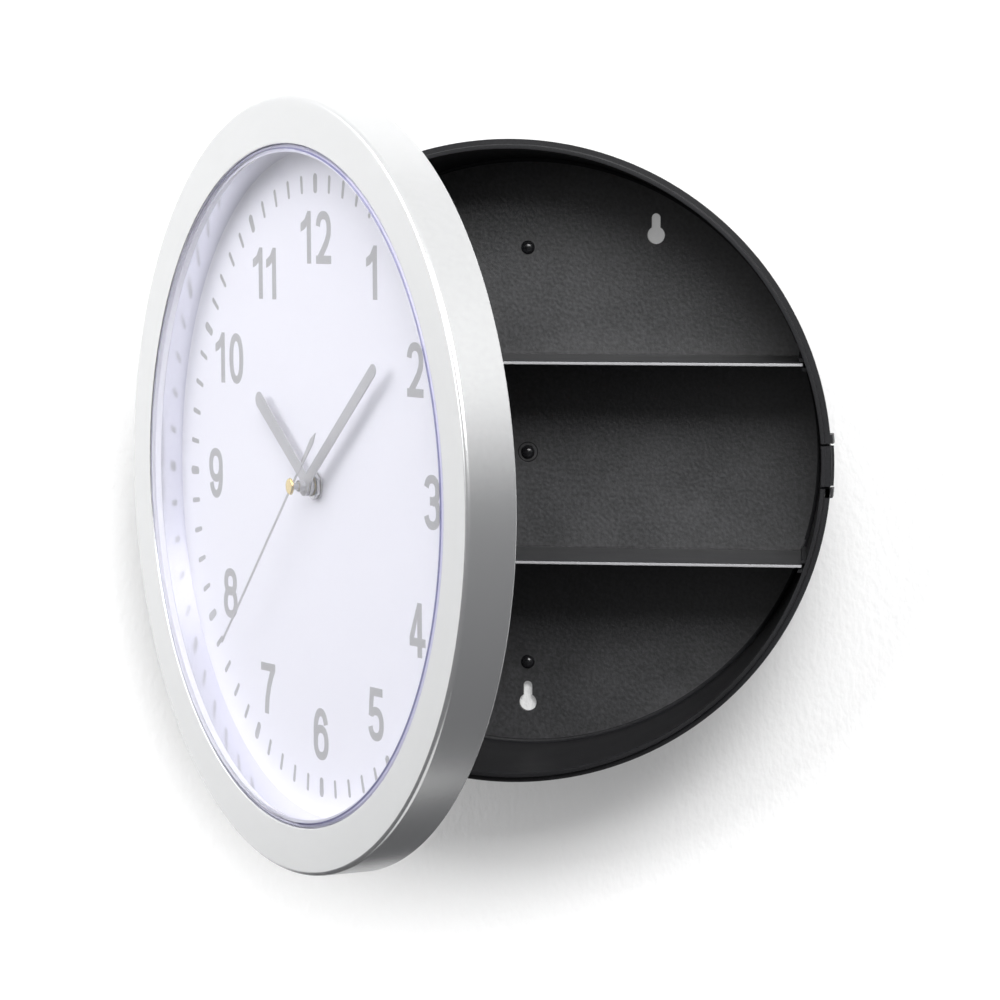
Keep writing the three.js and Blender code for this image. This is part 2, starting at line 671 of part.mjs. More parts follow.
// Back cover: a stepped disc with the movement's window, and the door's hinge knuckle
const coverDisc = turned([
  [0, coverFront],
  [recessRadius + COVER_STEP_WALL, coverFront],
  [recessRadius + COVER_STEP_WALL, coverEdgeFront],
  [skirtInnerRadius - GAP, coverEdgeFront],
  [skirtInnerRadius - GAP, coverBack],
  [recessRadius, coverBack],
  [recessRadius, coverFront + COVER_WALL],
  [0, coverFront + COVER_WALL],
]);
const doorKnuckle = join(
  upright(KNUCKLE_RADIUS, -DOOR_KNUCKLE_HALF, DOOR_KNUCKLE_HALF, hingeX, hingeDepth),
  block(
    [hingeX - KNUCKLE_RADIUS / 2, hingeDepth, -DOOR_KNUCKLE_HALF],
    [hingeX + KNUCKLE_RADIUS / 2, coverEdgeFront + BITE, DOOR_KNUCKLE_HALF],
  ),
);
const screwHoles = screwPlaces.flatMap(([x, z]) => [
  disc(SCREW_RADIUS + GAP, bossEnd - PAST, coverBack + PAST, x, z, PIN_SIDES),
  disc(SCREW_HEAD_RADIUS + GAP, screwHeadFront - GAP, coverBack + PAST, x, z, PIN_SIDES),
]);
const coverScrew = turned([
  [0, screwTip],
  [SCREW_RADIUS, screwTip],
  [SCREW_RADIUS, screwHeadFront],
  [SCREW_HEAD_RADIUS, screwHeadFront],
  [SCREW_HEAD_RADIUS, coverBack],
  [0, coverBack],
], PIN_SIDES);
screwPlaces.forEach(([x, z], i) => add(clock, `cover_screw_${i + 1}`, coverScrew, materials.steel, [x, 0, z]));

// Places in the movement. Tooth modules come from the centre distances.
const moduleOf = (distance, teethA, teethB) => (2 * distance) / (teethA + teethB);
const minuteModule = moduleOf(THIRD_DISTANCE, TEETH.minute, TEETH.thirdPinion);
const thirdModule = moduleOf(THIRD_DISTANCE, TEETH.third, TEETH.secondPinion);
const secondModule = moduleOf(FIFTH_DISTANCE, TEETH.second, TEETH.fifthPinion);
const fifthModule = moduleOf(ROTOR_DISTANCE, TEETH.fifth, TEETH.rotorPinion);
const motionModule = moduleOf(MOTION_DISTANCE, TEETH.motion, TEETH.cannonPinion);
const hourModule = moduleOf(MOTION_DISTANCE, TEETH.hour, TEETH.motionPinion);
const knobDistance = (motionModule * (TEETH.motion + TEETH.knobPinion)) / 2;
const tipRadius = (teeth, module) => (module * teeth) / 2 - TOOTH_BACKOFF;

const thirdPlace = place(THIRD_DISTANCE, THIRD_BEARING);
const fifthPlace = place(FIFTH_DISTANCE, FIFTH_BEARING);
const rotorPlace = place(ROTOR_DISTANCE, ROTOR_BEARING, fifthPlace);
const motionPlace = place(MOTION_DISTANCE, MOTION_BEARING);
const knobPlace = place(knobDistance, KNOB_BEARING, motionPlace);

// Bridge posts stand just outside the wheels beside them
const beside = (teeth, module, bearing, centre) =>
  place(tipRadius(teeth, module) + POST_CLEARANCE + POST_RADIUS, bearing, centre);
const lowLeftPost = beside(TEETH.motion, motionModule, LOW_LEFT_POST_BEARING, motionPlace);
const lowRightPost = beside(TEETH.third, thirdModule, LOW_RIGHT_POST_BEARING, thirdPlace);
const highPost = beside(TEETH.fifth, fifthModule, HIGH_POST_BEARING, fifthPlace);

// Depths behind the front of the case, layer on layer
const layerPitch = WHEEL_THICKNESS + WHEEL_GAP;
const bushFlangeDepth = CASE_WALL + GAP;
const hourLayer = bushFlangeDepth + BUSH_FLANGE_THICKNESS + GAP;
const motionLayer = hourLayer + layerPitch;
const minuteLayer = motionLayer + layerPitch;
const thirdLayer = minuteLayer + layerPitch;
const secondLayer = thirdLayer + layerPitch;
const fifthLayer = secondLayer + layerPitch;
const magnetLayer = fifthLayer + layerPitch;
const statorLayer = magnetLayer + (ROTOR_MAGNET_LENGTH - STATOR_THICKNESS) / 2;
const bridgeLayer = magnetLayer + ROTOR_MAGNET_LENGTH + 2 * GAP;
const coilAxisDepth = statorLayer + STATOR_THICKNESS / 2;
const caseDepth = coilAxisDepth + COIL_RADIUS + CASE_REAR_CLEARANCE;

const caseFront = dialBack + GAP;
const behind = (layer) => caseFront + layer;
const caseBack = behind(caseDepth);

// Stator and coil, placed from the rotor
const rotorHoleRadius = ROTOR_MAGNET_RADIUS + STATOR_AIR_GAP;
const coilZ = rotorPlace[1] + COIL_OFFSET;
const statorLeft = rotorPlace[0] - rotorHoleRadius - STATOR_END;
const statorLow = rotorPlace[1] - rotorHoleRadius - STATOR_RIM;
const statorHigh = coilZ + CORE_WIDTH / 2;

// Case: as wide as the cell with its contacts, as high as the bay and the wheel chamber together
const bayRadius = CELL_RADIUS + CELL_CLEARANCE;
const cavityHalf =
  (CELL_LENGTH + CELL_NUB_LENGTH + CONTACT_DIMPLE) / 2 + CONTACT_THICKNESS + 2.5 * GAP;
const caseHalf = cavityHalf + CASE_WALL;
const partitionTop = -tipRadius(TEETH.minute, minuteModule) - TRAIN_CLEARANCE;
const cellZ = partitionTop - CASE_WALL - bayRadius;
const cellDepth = behind(CASE_WALL) + bayRadius;
const caseLow = cellZ - bayRadius - BAY_BOTTOM_WALL;
const caseHigh = coilZ + COIL_RADIUS + CASE_TOP_CLEARANCE + CASE_WALL;
const contactInner = cavityHalf - GAP - CONTACT_THICKNESS;
const statorRight = cavityHalf - GAP;

const boardLeft = -contactInner + GAP;
const boardRight = boardLeft + BOARD_WIDTH;
const boardLow = partitionTop + STRIP_WIDTH;
const boardHigh = boardLow + BOARD_HEIGHT;
const boardBack = behind(fifthLayer) + BOARD_THICKNESS;

// Movement case: a tray with the wheel chamber above and the cell bay below, open at the back
const post = (radius, top, [x, z]) => disc(radius, behind(CASE_WALL) - BITE, behind(top), x, z, PIN_SIDES);
const bore = (radius, [x, z]) => disc(radius + GAP, behind(CASE_WALL) + GAP, caseBack, x, z, PIN_SIDES);
const bossRadius = ARBOR_RADIUS + GAP + BOSS_WALL;
const knobBossRadius = KNOB_SHAFT_RADIUS + GAP + BOSS_WALL;
const posts = [
  ...[lowLeftPost, lowRightPost, highPost].map((spot) => post(POST_RADIUS, bridgeLayer - GAP, spot)),
  post(SLIM_POST_RADIUS, statorLayer - GAP, [statorLeft + STATOR_POST_INSET, statorHigh - STATOR_POST_INSET]),
  post(SLIM_POST_RADIUS, statorLayer - GAP, [statorRight - STATOR_POST_INSET, statorLow + STATOR_POST_INSET]),
  post(SLIM_POST_RADIUS, fifthLayer - GAP, [boardLeft + BOARD_POST_INSET, boardLow + BOARD_POST_INSET]),
  post(SLIM_POST_RADIUS, fifthLayer - GAP, [boardLeft + BOARD_POST_INSET, boardHigh - BOARD_POST_INSET]),
  post(bossRadius, minuteLayer - GAP, thirdPlace),
  post(bossRadius, minuteLayer - GAP, fifthPlace),
  post(bossRadius, fifthLayer - GAP, rotorPlace),
  post(knobBossRadius, motionLayer - GAP, knobPlace),
  post(MOTION_POST_RADIUS, minuteLayer - GAP, motionPlace),
];
const contactNotch = (left) => block(
  [left, cellDepth - CONTACT_WIDTH / 2 - GAP, partitionTop - CASE_WALL - PAST],
  [left + CONTACT_THICKNESS + 2 * GAP, caseBack + PAST, partitionTop + PAST],
);
const movementCase = cut(
  join(
    cut(
      block([-caseHalf, caseFront, caseLow], [caseHalf, caseBack, caseHigh]),
      block(
        [-cavityHalf, behind(CASE_WALL), cellZ - bayRadius],
        [cavityHalf, caseBack + PAST, cellZ + bayRadius],
      ),
      block(
        [-cavityHalf, behind(CASE_WALL), partitionTop],
        [cavityHalf, caseBack + PAST, caseHigh - CASE_WALL],
      ),
    ),
    ...posts,
  ),
  disc(BUSH_RADIUS + GAP, caseFront - PAST, behind(CASE_WALL) + PAST),
  bore(ARBOR_RADIUS, thirdPlace),
  bore(ARBOR_RADIUS, fifthPlace),
  bore(ARBOR_RADIUS, rotorPlace),
  bore(KNOB_SHAFT_RADIUS, knobPlace),
  contactNotch(-cavityHalf),
  contactNotch(cavityHalf - CONTACT_THICKNESS - 2 * GAP),
);
add(clock, 'movement_case', movementCase, materials.blackPlastic);

const backCover = cut(
  join(coverDisc, doorKnuckle),
  block(
    [-caseHalf - WINDOW_CLEARANCE, 0, caseLow - WINDOW_CLEARANCE],
    [caseHalf + WINDOW_CLEARANCE, doorThickness, caseHigh + WINDOW_CLEARANCE],
  ),
  upright(PIN_RADIUS + GAP, -lugHigh, lugHigh, hingeX, hingeDepth, PIN_SIDES),
  ...lugSlots(doorLeft, hingeX + KNUCKLE_RADIUS + HINGE_SLOT_MARGIN),
  ...screwHoles,
);
add(clock, 'back_cover', backCover, materials.blackPlastic);

const lidFront = caseBack + GAP;
const lidBack = lidFront + LID_THICKNESS;
const movementLid = cut(
  block([-caseHalf, lidFront, partitionTop - CASE_WALL], [caseHalf, lidBack, caseHigh]),
  disc(KNOB_SHAFT_RADIUS + GAP, lidFront - PAST, lidBack + PAST, ...knobPlace, PIN_SIDES),
);
add(clock, 'movement_lid', movementLid, materials.blackPlastic);

// Threaded bush through the dial, its washer and nut
const centreBush = turned([
  [BUSH_BORE, bushFront],
  [BUSH_RADIUS, bushFront],
  [BUSH_RADIUS, behind(bushFlangeDepth)],
  [BUSH_FLANGE_RADIUS, behind(bushFlangeDepth)],
  [BUSH_FLANGE_RADIUS, behind(bushFlangeDepth) + BUSH_FLANGE_THICKNESS],
  [BUSH_BORE, behind(bushFlangeDepth) + BUSH_FLANGE_THICKNESS],
], SMALL_SIDES);
add(clock, 'centre_bush', centreBush, materials.steel);
const washer = tube(BUSH_RADIUS + GAP, WASHER_RADIUS, washerFront, washerBack);
add(clock, 'bush_washer', washer, materials.steel);
const nut = cut(
  disc(NUT_FLATS / Math.sqrt(3), nutFront, nutBack, 0, 0, 6),
  disc(BUSH_RADIUS + GAP, nutFront - PAST, nutBack + PAST),
);
add(clock, 'bush_nut', nut, materials.steel);

// A gear with pointed teeth, its tips held back from the pitch circle for running clearance
function gear(teeth, module, front, thickness) {
  const tip = tipRadius(teeth, module);
  const root = tip - TOOTH_DEPTH * module;
  const points = [];
  for (let i = 0; i < 2 * teeth; i += 1) {
    points.push(place(i % 2 === 0 ? tip : root, (i * 180) / teeth));
  }
  return plate(outline(points), front, front + thickness);
}
const arborFront = behind(CASE_WALL + 2 * GAP);
const arborBack = behind(bridgeLayer + BRIDGE_THICKNESS) - GAP;
const arbor = () => disc(ARBOR_RADIUS, arborFront, arborBack, 0, 0, PIN_SIDES);

// Wheels and pinions of the train
const hourTubeFront = hourFront - GAP / 3;
const hourWheel = cut(
  join(
    gear(TEETH.hour, hourModule, behind(hourLayer), WHEEL_THICKNESS),
    disc(HOUR_TUBE_RADIUS, hourTubeFront, behind(hourLayer) + BITE),
  ),
  disc(HOUR_TUBE_BORE, hourTubeFront - PAST, behind(hourLayer) + PAST),
);
const minuteTubeFront = colletFront + GAP / 3;
const minuteWheel = cut(
  join(
    gear(TEETH.minute, minuteModule, behind(minuteLayer), WHEEL_THICKNESS),
    gear(TEETH.cannonPinion, motionModule, behind(motionLayer), layerPitch + BITE),
    disc(MINUTE_TUBE_RADIUS, minuteTubeFront, behind(minuteLayer) + BITE),
  ),
  disc(MINUTE_TUBE_BORE, minuteTubeFront - PAST, behind(minuteLayer) + PAST, 0, 0, PIN_SIDES),
);
const secondWheel = join(
  gear(TEETH.second, secondModule, behind(secondLayer), WHEEL_THICKNESS),
  gear(TEETH.secondPinion, thirdModule, behind(thirdLayer), layerPitch + BITE),
  disc(SECOND_ARBOR_RADIUS, secondBack + GAP, arborBack, 0, 0, PIN_SIDES),
);
const thirdWheel = join(
  gear(TEETH.third, thirdModule, behind(thirdLayer), WHEEL_THICKNESS),
  gear(TEETH.thirdPinion, minuteModule, behind(minuteLayer), layerPitch + BITE),
  arbor(),
);
const fifthWheel = join(
  gear(TEETH.fifth, fifthModule, behind(fifthLayer), WHEEL_THICKNESS),
  gear(TEETH.fifthPinion, secondModule, behind(secondLayer), layerPitch + BITE),
  arbor(),
);
const motionWheel = cut(
  join(
    gear(TEETH.motion, motionModule, behind(motionLayer), WHEEL_THICKNESS),
    gear(TEETH.motionPinion, hourModule, behind(hourLayer), layerPitch + BITE),
  ),
  disc(MOTION_POST_RADIUS + GAP, behind(CASE_WALL), behind(minuteLayer) + PAST, 0, 0, PIN_SIDES),
);
const rotorPinion = join(
  gear(TEETH.rotorPinion, fifthModule, behind(fifthLayer), WHEEL_THICKNESS),
  arbor(),
);
const magnetFront = behind(magnetLayer);
const rotorMagnet = tube(ARBOR_RADIUS + GAP, ROTOR_MAGNET_RADIUS, magnetFront, magnetFront + ROTOR_MAGNET_LENGTH);

// Turns a piece to the right seen from the front, as the hands run
function turnTo(mesh, degrees) {
  mesh.rotation.y = THREE.MathUtils.degToRad(degrees);
}
const secondAngle = SHOWN_TIME.seconds * 6;
const minuteAngle = (SHOWN_TIME.minutes + SHOWN_TIME.seconds / 60) * 6;
const hourAngle = SHOWN_TIME.hours * 30 + minuteAngle / 12;

add(clock, 'hour_wheel', hourWheel, materials.whitePlastic);
add(clock, 'minute_wheel', minuteWheel, materials.whitePlastic);
add(clock, 'second_wheel', secondWheel, materials.whitePlastic);
const at = ([x, z]) => [x, 0, z];
add(clock, 'third_wheel', thirdWheel, materials.whitePlastic, at(thirdPlace));
add(clock, 'fifth_wheel', fifthWheel, materials.whitePlastic, at(fifthPlace));
add(clock, 'motion_wheel', motionWheel, materials.whitePlastic, at(motionPlace));
add(clock, 'rotor_pinion', rotorPinion, materials.whitePlastic, at(rotorPlace));
add(clock, 'rotor_magnet', rotorMagnet, materials.magnet, at(rotorPlace));

// Setting knob: pinion, shaft and a gripped disc behind the lid
const knobFront = lidBack + GAP;
const knobDisc = [];
for (let i = 0; i < 2 * KNOB_GRIPS; i += 1) {
  knobDisc.push(place(i % 2 === 0 ? KNOB_RADIUS : KNOB_RADIUS - KNOB_GRIP_DEPTH, (i * 180) / KNOB_GRIPS));
}
const settingKnob = join(
  gear(TEETH.knobPinion, motionModule, behind(motionLayer), WHEEL_THICKNESS),
  disc(KNOB_SHAFT_RADIUS, arborFront, knobFront + BITE, 0, 0, PIN_SIDES),
  plate(outline(knobDisc), knobFront, knobFront + KNOB_THICKNESS),
);
add(clock, 'setting_knob', settingKnob, materials.redPlastic, at(knobPlace));

// Bridge that holds the rear pivots, its corners a margin out from the posts and the rotor
const bridgeOutline = outline([
  place(BRIDGE_MARGIN, 225, lowLeftPost),
  place(BRIDGE_MARGIN, 315, lowRightPost),
  place(BRIDGE_MARGIN, 20, lowRightPost),
  place(BRIDGE_MARGIN, 45, rotorPlace),
  place(BRIDGE_MARGIN, 135, highPost),
]);
const trainBridge = cut(
  plate(bridgeOutline, behind(bridgeLayer), behind(bridgeLayer) + BRIDGE_THICKNESS),
  ...[[0, 0], thirdPlace, fifthPlace, rotorPlace].map(([x, z]) =>
    disc(ARBOR_RADIUS + GAP, behind(bridgeLayer) - PAST, caseBack, x, z, PIN_SIDES)),
);
add(clock, 'train_bridge', trainBridge, materials.whitePlastic);

// Stepping motor: stator plate with its core, and the coil on it
const coilWindowLeft = rotorPlace[0] + rotorHoleRadius + STATOR_END;
const coilWindowRight = statorRight - STATOR_LIMB;
const statorFront = behind(statorLayer);
const statorBack = statorFront + STATOR_THICKNESS;
const stator = cut(
  block([statorLeft, statorFront, statorLow], [statorRight, statorBack, statorHigh]),
  block(
    [coilWindowLeft, statorFront - PAST, statorLow + STATOR_LIMB],
    [coilWindowRight, statorBack + PAST, coilZ - CORE_WIDTH / 2],
  ),
  disc(rotorHoleRadius, statorFront - PAST, statorBack + PAST, ...rotorPlace),
);
add(clock, 'stator', stator, materials.steel);

const coilEnd = (coilWindowRight - coilWindowLeft) / 2 - COIL_END_GAP;
const flangeInner = coilEnd - COIL_FLANGE;
const coilProfile = [
  [COIL_BORE, -coilEnd],
  [COIL_RADIUS, -coilEnd],
  [COIL_RADIUS, -flangeInner],
  [COIL_WINDING_RADIUS, -flangeInner],
  [COIL_WINDING_RADIUS, flangeInner],
  [COIL_RADIUS, flangeInner],
  [COIL_RADIUS, coilEnd],
  [COIL_BORE, coilEnd],
];
const coilPlace = [(coilWindowLeft + coilWindowRight) / 2, behind(coilAxisDepth), coilZ];
const coil = add(clock, 'coil', turned(coilProfile, SMALL_SIDES), materials.copper, coilPlace);
coil.rotation.z = Math.PI / 2;

// Circuit board with its chip, and the quartz can lying on it
const chipZ = (boardLow + boardHigh) / 2;
const circuitBoard = join(
  block([boardLeft, behind(fifthLayer), boardLow], [boardRight, boardBack, boardHigh]),
  disc(CHIP_RADIUS, boardBack - BITE, boardBack + CHIP_RISE, boardRight - CHIP_INSET, chipZ, PIN_SIDES),
);
add(clock, 'circuit_board', circuitBoard, materials.board);
const crystalPlace = [boardLeft + CRYSTAL_INSET, boardBack + GAP + CRYSTAL_RADIUS, chipZ];
const crystalCan = upright(CRYSTAL_RADIUS, -CRYSTAL_LENGTH / 2, CRYSTAL_LENGTH / 2, 0, 0, PIN_SIDES);
add(clock, 'crystal_can', crystalCan, materials.steel, crystalPlace);

// Cell, and the contacts at its two ends
const cellLeft = -contactInner + 2 * GAP;
const cellRight = cellLeft + CELL_LENGTH;
const cell = join(
  lying(CELL_RADIUS, cellLeft, cellRight, cellDepth, cellZ),
  lying(CELL_NUB_RADIUS, cellRight - BITE, cellRight + CELL_NUB_LENGTH, cellDepth, cellZ, PIN_SIDES),
);
add(clock, 'battery_cell', cell, materials.cell);

const contactFront = cellDepth - CONTACT_WIDTH / 2;
const contactBack = cellDepth + CONTACT_WIDTH / 2;
const negative = block(
  [-contactInner - CONTACT_THICKNESS, contactFront, cellZ - CONTACT_DROP],
  [-contactInner, contactBack, partitionTop + CONTACT_RISE],
);
add(clock, 'contact_negative', negative, materials.steel);
const stripLow = partitionTop + GAP;
const stripFront = boardBack + GAP;
const dimpleLeft = cellRight + CELL_NUB_LENGTH + GAP;
const bend = contactInner + CONTACT_THICKNESS / 2;
const positive = join(
  block(
    [contactInner, contactFront, cellZ - CONTACT_DROP],
    [contactInner + CONTACT_THICKNESS, contactBack, stripLow + STRIP_WIDTH],
  ),
  lying(CELL_NUB_RADIUS, dimpleLeft, bend, cellDepth, cellZ, PIN_SIDES),
  block(
    [boardRight - STRIP_WIDTH, stripFront, stripLow],
    [bend, stripFront + CONTACT_THICKNESS, stripLow + STRIP_WIDTH],
  ),
);
add(clock, 'contact_positive', positive, materials.steel);

// Hands. Each is drawn upright and turned to the shown time.
function blade(length, rootWidth, tipWidth, front, thickness) {
  const shape = new THREE.Shape();
  shape.moveTo(-rootWidth / 2, 0);
  shape.lineTo(rootWidth / 2, 0);
  shape.lineTo(tipWidth / 2, length - tipWidth / 2);
  shape.absarc(0, length - tipWidth / 2, tipWidth / 2, 0, Math.PI, false);
  shape.lineTo(-rootWidth / 2, 0);
  return plate(shape, front, front + thickness);
}
const hourBladeFront = hourFront + (HOUR_HAND.hub - HAND_THICKNESS) / 2;
const hourHand = cut(
  join(
    blade(HOUR_HAND.length, HOUR_HAND.root, HOUR_HAND.width, hourBladeFront, HAND_THICKNESS),
    disc(HAND_HUB_RADIUS, hourFront, hourHubBack),
  ),
  disc(HOUR_TUBE_RADIUS + GAP, hourFront - PAST, hourHubBack + PAST),
);
turnTo(add(clock, 'hour_hand', hourHand, materials.hand), hourAngle);

const minuteHand = cut(
  join(
    blade(MINUTE_HAND.length, MINUTE_HAND.root, MINUTE_HAND.width, minuteFront, HAND_THICKNESS),
    disc(HAND_HUB_RADIUS, minuteFront, minuteHubBack),
    disc(MINUTE_COLLET_RADIUS, colletFront, minuteHubBack),
  ),
  disc(MINUTE_TUBE_RADIUS + GAP, colletFront - PAST, minuteHubBack + PAST),
);
turnTo(add(clock, 'minute_hand', minuteHand, materials.hand), minuteAngle);

const secondOutline = outline([
  [SECOND_HAND.width / 2, 0],
  [SECOND_HAND.width / 2, SECOND_HAND.length],
  [-SECOND_HAND.width / 2, SECOND_HAND.length],
  [-SECOND_HAND.width / 2, 0],
  [-SECOND_HAND.tailWidth / 2, -SECOND_HAND.tail + SECOND_HAND.tailPoint],
  [0, -SECOND_HAND.tail],
  [SECOND_HAND.tailWidth / 2, -SECOND_HAND.tail + SECOND_HAND.tailPoint],
]);
const secondHand = cut(
  join(
    plate(secondOutline, secondFront, secondBack),
    disc(SECOND_HUB_RADIUS, secondFront, secondBack),
    disc(SECOND_PIPE_RADIUS, secondFront, secondPipeBack, 0, 0, PIN_SIDES),
  ),
  disc(SECOND_ARBOR_RADIUS + GAP, secondBack, secondPipeBack + PAST, 0, 0, PIN_SIDES),
);
turnTo(add(clock, 'second_hand', secondHand, materials.hand), secondAngle);

const secondCap = turned([
  [0, capFront],
  [CAP_RADIUS - CAP_THICKNESS, capFront],
  [CAP_RADIUS, (capFront + capBack) / 2],
  [CAP_RADIUS, capBack],
  [0, capBack],
], SMALL_SIDES);
turnTo(add(clock, 'second_cap', secondCap, materials.brass), secondAngle);

export default safe;
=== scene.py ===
import json
import math

import bpy
from mathutils import Matrix, Vector


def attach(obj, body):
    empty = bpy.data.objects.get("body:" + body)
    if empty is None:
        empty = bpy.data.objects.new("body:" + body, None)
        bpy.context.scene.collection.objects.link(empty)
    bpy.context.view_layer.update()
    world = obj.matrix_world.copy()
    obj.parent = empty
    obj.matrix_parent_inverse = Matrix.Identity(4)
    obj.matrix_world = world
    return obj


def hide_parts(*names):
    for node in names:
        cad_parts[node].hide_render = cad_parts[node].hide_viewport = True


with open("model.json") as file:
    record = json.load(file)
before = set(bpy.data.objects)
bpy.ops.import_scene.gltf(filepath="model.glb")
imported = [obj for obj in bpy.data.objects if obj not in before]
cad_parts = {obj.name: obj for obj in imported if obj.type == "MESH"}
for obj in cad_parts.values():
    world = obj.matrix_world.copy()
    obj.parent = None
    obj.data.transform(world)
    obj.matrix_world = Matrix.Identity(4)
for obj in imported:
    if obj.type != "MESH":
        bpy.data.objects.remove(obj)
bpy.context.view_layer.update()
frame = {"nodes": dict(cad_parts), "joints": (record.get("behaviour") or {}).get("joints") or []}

# Lengths of the object's pieces are in millimetres. The wall is at depth 0, and depths
# towards the room are negative.
MM = 0.001


# Camera. A long lens a metre and a half from the wall, a little to the right of
# the clock and above it.
bpy.ops.object.camera_add(
    location=(0.20123, -1.4628, 0.11333),
    rotation=(math.radians(90 - 5.071), 0, math.radians(8.237)),
)
camera = bpy.context.object
camera.data.sensor_width = 36
camera.data.lens = 146.99
camera.data.clip_start = 0.05
camera.data.clip_end = 50
bpy.context.scene.camera = camera
bpy.context.scene.view_settings.view_transform = "Standard"


# Wall and floor. The clock hangs on a plain white painted wall with a fine roller stipple,
# which keeps its shadow near the clock and fades to white further out. From behind, the wall
# can be seen through.
ROLLER_SCALE = 420
STIPPLE_HEIGHT = 0.6
FADE_START = 0.15
FADE_END = 0.2
FADE_GLOW = 0.4


def stage_paint(name, colour, stipple, lift):
    """Matt paint that is lifted towards white where the camera, silver or clear plastic sees
    it. Between two distances from the clock, in metres, a glow for the camera is added."""
    look = bpy.data.materials.new(name)
    look.use_nodes = True
    nodes, links = look.node_tree.nodes, look.node_tree.links
    paint = nodes["Principled BSDF"]
    paint.inputs["Base Color"].default_value = (*colour, 1)
    paint.inputs["Roughness"].default_value = 0.85
    place = nodes.new("ShaderNodeTexCoord")
    roller = nodes.new("ShaderNodeTexNoise")
    roller.inputs["Scale"].default_value = ROLLER_SCALE
    roller.inputs["Detail"].default_value = 3
    streaks = nodes.new("ShaderNodeMapping")
    streaks.inputs["Scale"].default_value = (1, 1, 0.6)
    bump = nodes.new("ShaderNodeBump")
    bump.inputs["Strength"].default_value = stipple
    bump.inputs["Distance"].default_value = STIPPLE_HEIGHT * MM
    links.new(place.outputs["Object"], streaks.inputs["Vector"])
    links.new(streaks.outputs["Vector"], roller.inputs["Vector"])
    links.new(roller.outputs["Fac"], bump.inputs["Height"])
    links.new(bump.outputs["Normal"], paint.inputs["Normal"])
    path = nodes.new("ShaderNodeLightPath")
    seen = nodes.new("ShaderNodeMath")
    seen.operation = "MAXIMUM"
    links.new(path.outputs["Is Camera Ray"], seen.inputs[0])
    links.new(path.outputs["Is Glossy Ray"], seen.inputs[1])
    seen_through = nodes.new("ShaderNodeMath")
    seen_through.operation = "MAXIMUM"
    links.new(seen.outputs[0], seen_through.inputs[0])
    links.new(path.outputs["Is Transmission Ray"], seen_through.inputs[1])
    strength = nodes.new("ShaderNodeMath")
    strength.operation = "MULTIPLY"
    strength.inputs[1].default_value = lift
    links.new(seen_through.outputs[0], strength.inputs[0])
    from_clock = nodes.new("ShaderNodeVectorMath")
    from_clock.operation = "LENGTH"
    links.new(place.outputs["Object"], from_clock.inputs[0])
    fade = nodes.new("ShaderNodeMapRange")
    fade.inputs["From Min"].default_value = FADE_START
    fade.inputs["From Max"].default_value = FADE_END
    fade.inputs["To Max"].default_value = FADE_GLOW
    links.new(from_clock.outputs["Value"], fade.inputs["Value"])
    with_fade = nodes.new("ShaderNodeMath")
    with_fade.operation = "MULTIPLY_ADD"
    links.new(path.outputs["Is Camera Ray"], with_fade.inputs[0])
    links.new(fade.outputs["Result"], with_fade.inputs[1])
    links.new(strength.outputs[0], with_fade.inputs[2])
    glow = nodes.new("ShaderNodeEmission")
    links.new(with_fade.outputs[0], glow.inputs["Strength"])
    both = nodes.new("ShaderNodeAddShader")
    links.new(paint.outputs["BSDF"], both.inputs[0])
    links.new(glow.outputs["Emission"], both.inputs[1])
    side = nodes.new("ShaderNodeNewGeometry")
    clear = nodes.new("ShaderNodeBsdfTransparent")
    choose = nodes.new("ShaderNodeMixShader")
    links.new(side.outputs["Backfacing"], choose.inputs["Fac"])
    links.new(both.outputs["Shader"], choose.inputs[1])
    links.new(clear.outputs["BSDF"], choose.inputs[2])
    links.new(choose.outputs["Shader"], nodes["Material Output"].inputs["Surface"])
    return look


# the wall stands just behind the drum's flat back
bpy.ops.object.select_all(action="DESELECT")
bpy.ops.mesh.primitive_plane_add(
    size=1, location=(-0.25, 0.3 * MM, 0.13), rotation=(math.pi / 2, 0, 0)
)
wall = bpy.context.object
wall.scale = (1.5, 0.73, 1)
bpy.ops.object.transform_apply()
wall.name = "wall"
wall.data.materials.append(stage_paint("wall_paint", (0.64, 0.64, 0.64), 0.7, 0.22))
bpy.ops.mesh.primitive_plane_add(size=1.2, location=(0, -0.3, -1.6))
floor = bpy.context.object
floor.name = "floor"
floor.data.materials.append(stage_paint("floor_paint", (0.5, 0.5, 0.49), 0.1, 0.6))


# Light. A soft box high on the right throws the clock's shadow and the shelves', and a
# larger one on the left lights the open door's face. The room that silver mirrors is grey
# below and white high up, and the camera and clear plastic see it white all round.
LAMP_AIM = Vector((0, -0.06, 0.07))
SOFT_BOXES = {
    "soft_box_right": ((0.35, -1.24, 0.88), (1.2, 0.7), 4.9, 60),
    "soft_box_left": ((-1.2, -0.42, 0.5), (1.0, 1.0), 9, 180),
}
# heights in the room run from 0, straight down, to 1, straight up
GREY_UP_TO = 0.49
WHITE_FROM = 0.71
ROOM_GREY = (0.12, 0.12, 0.125, 1)
ROOM_WHITE = (1, 1, 1, 1)

for name, (place, size, power, beam) in SOFT_BOXES.items():
    bpy.ops.object.light_add(type="AREA", location=place)
    soft_box = bpy.context.object
    soft_box.name = name
    soft_box.data.shape = "RECTANGLE"
    soft_box.data.size, soft_box.data.size_y = size
    soft_box.data.energy = power
    soft_box.data.spread = math.radians(beam)
    towards = LAMP_AIM - soft_box.location
    soft_box.rotation_euler = towards.to_track_quat("-Z", "Y").to_euler()

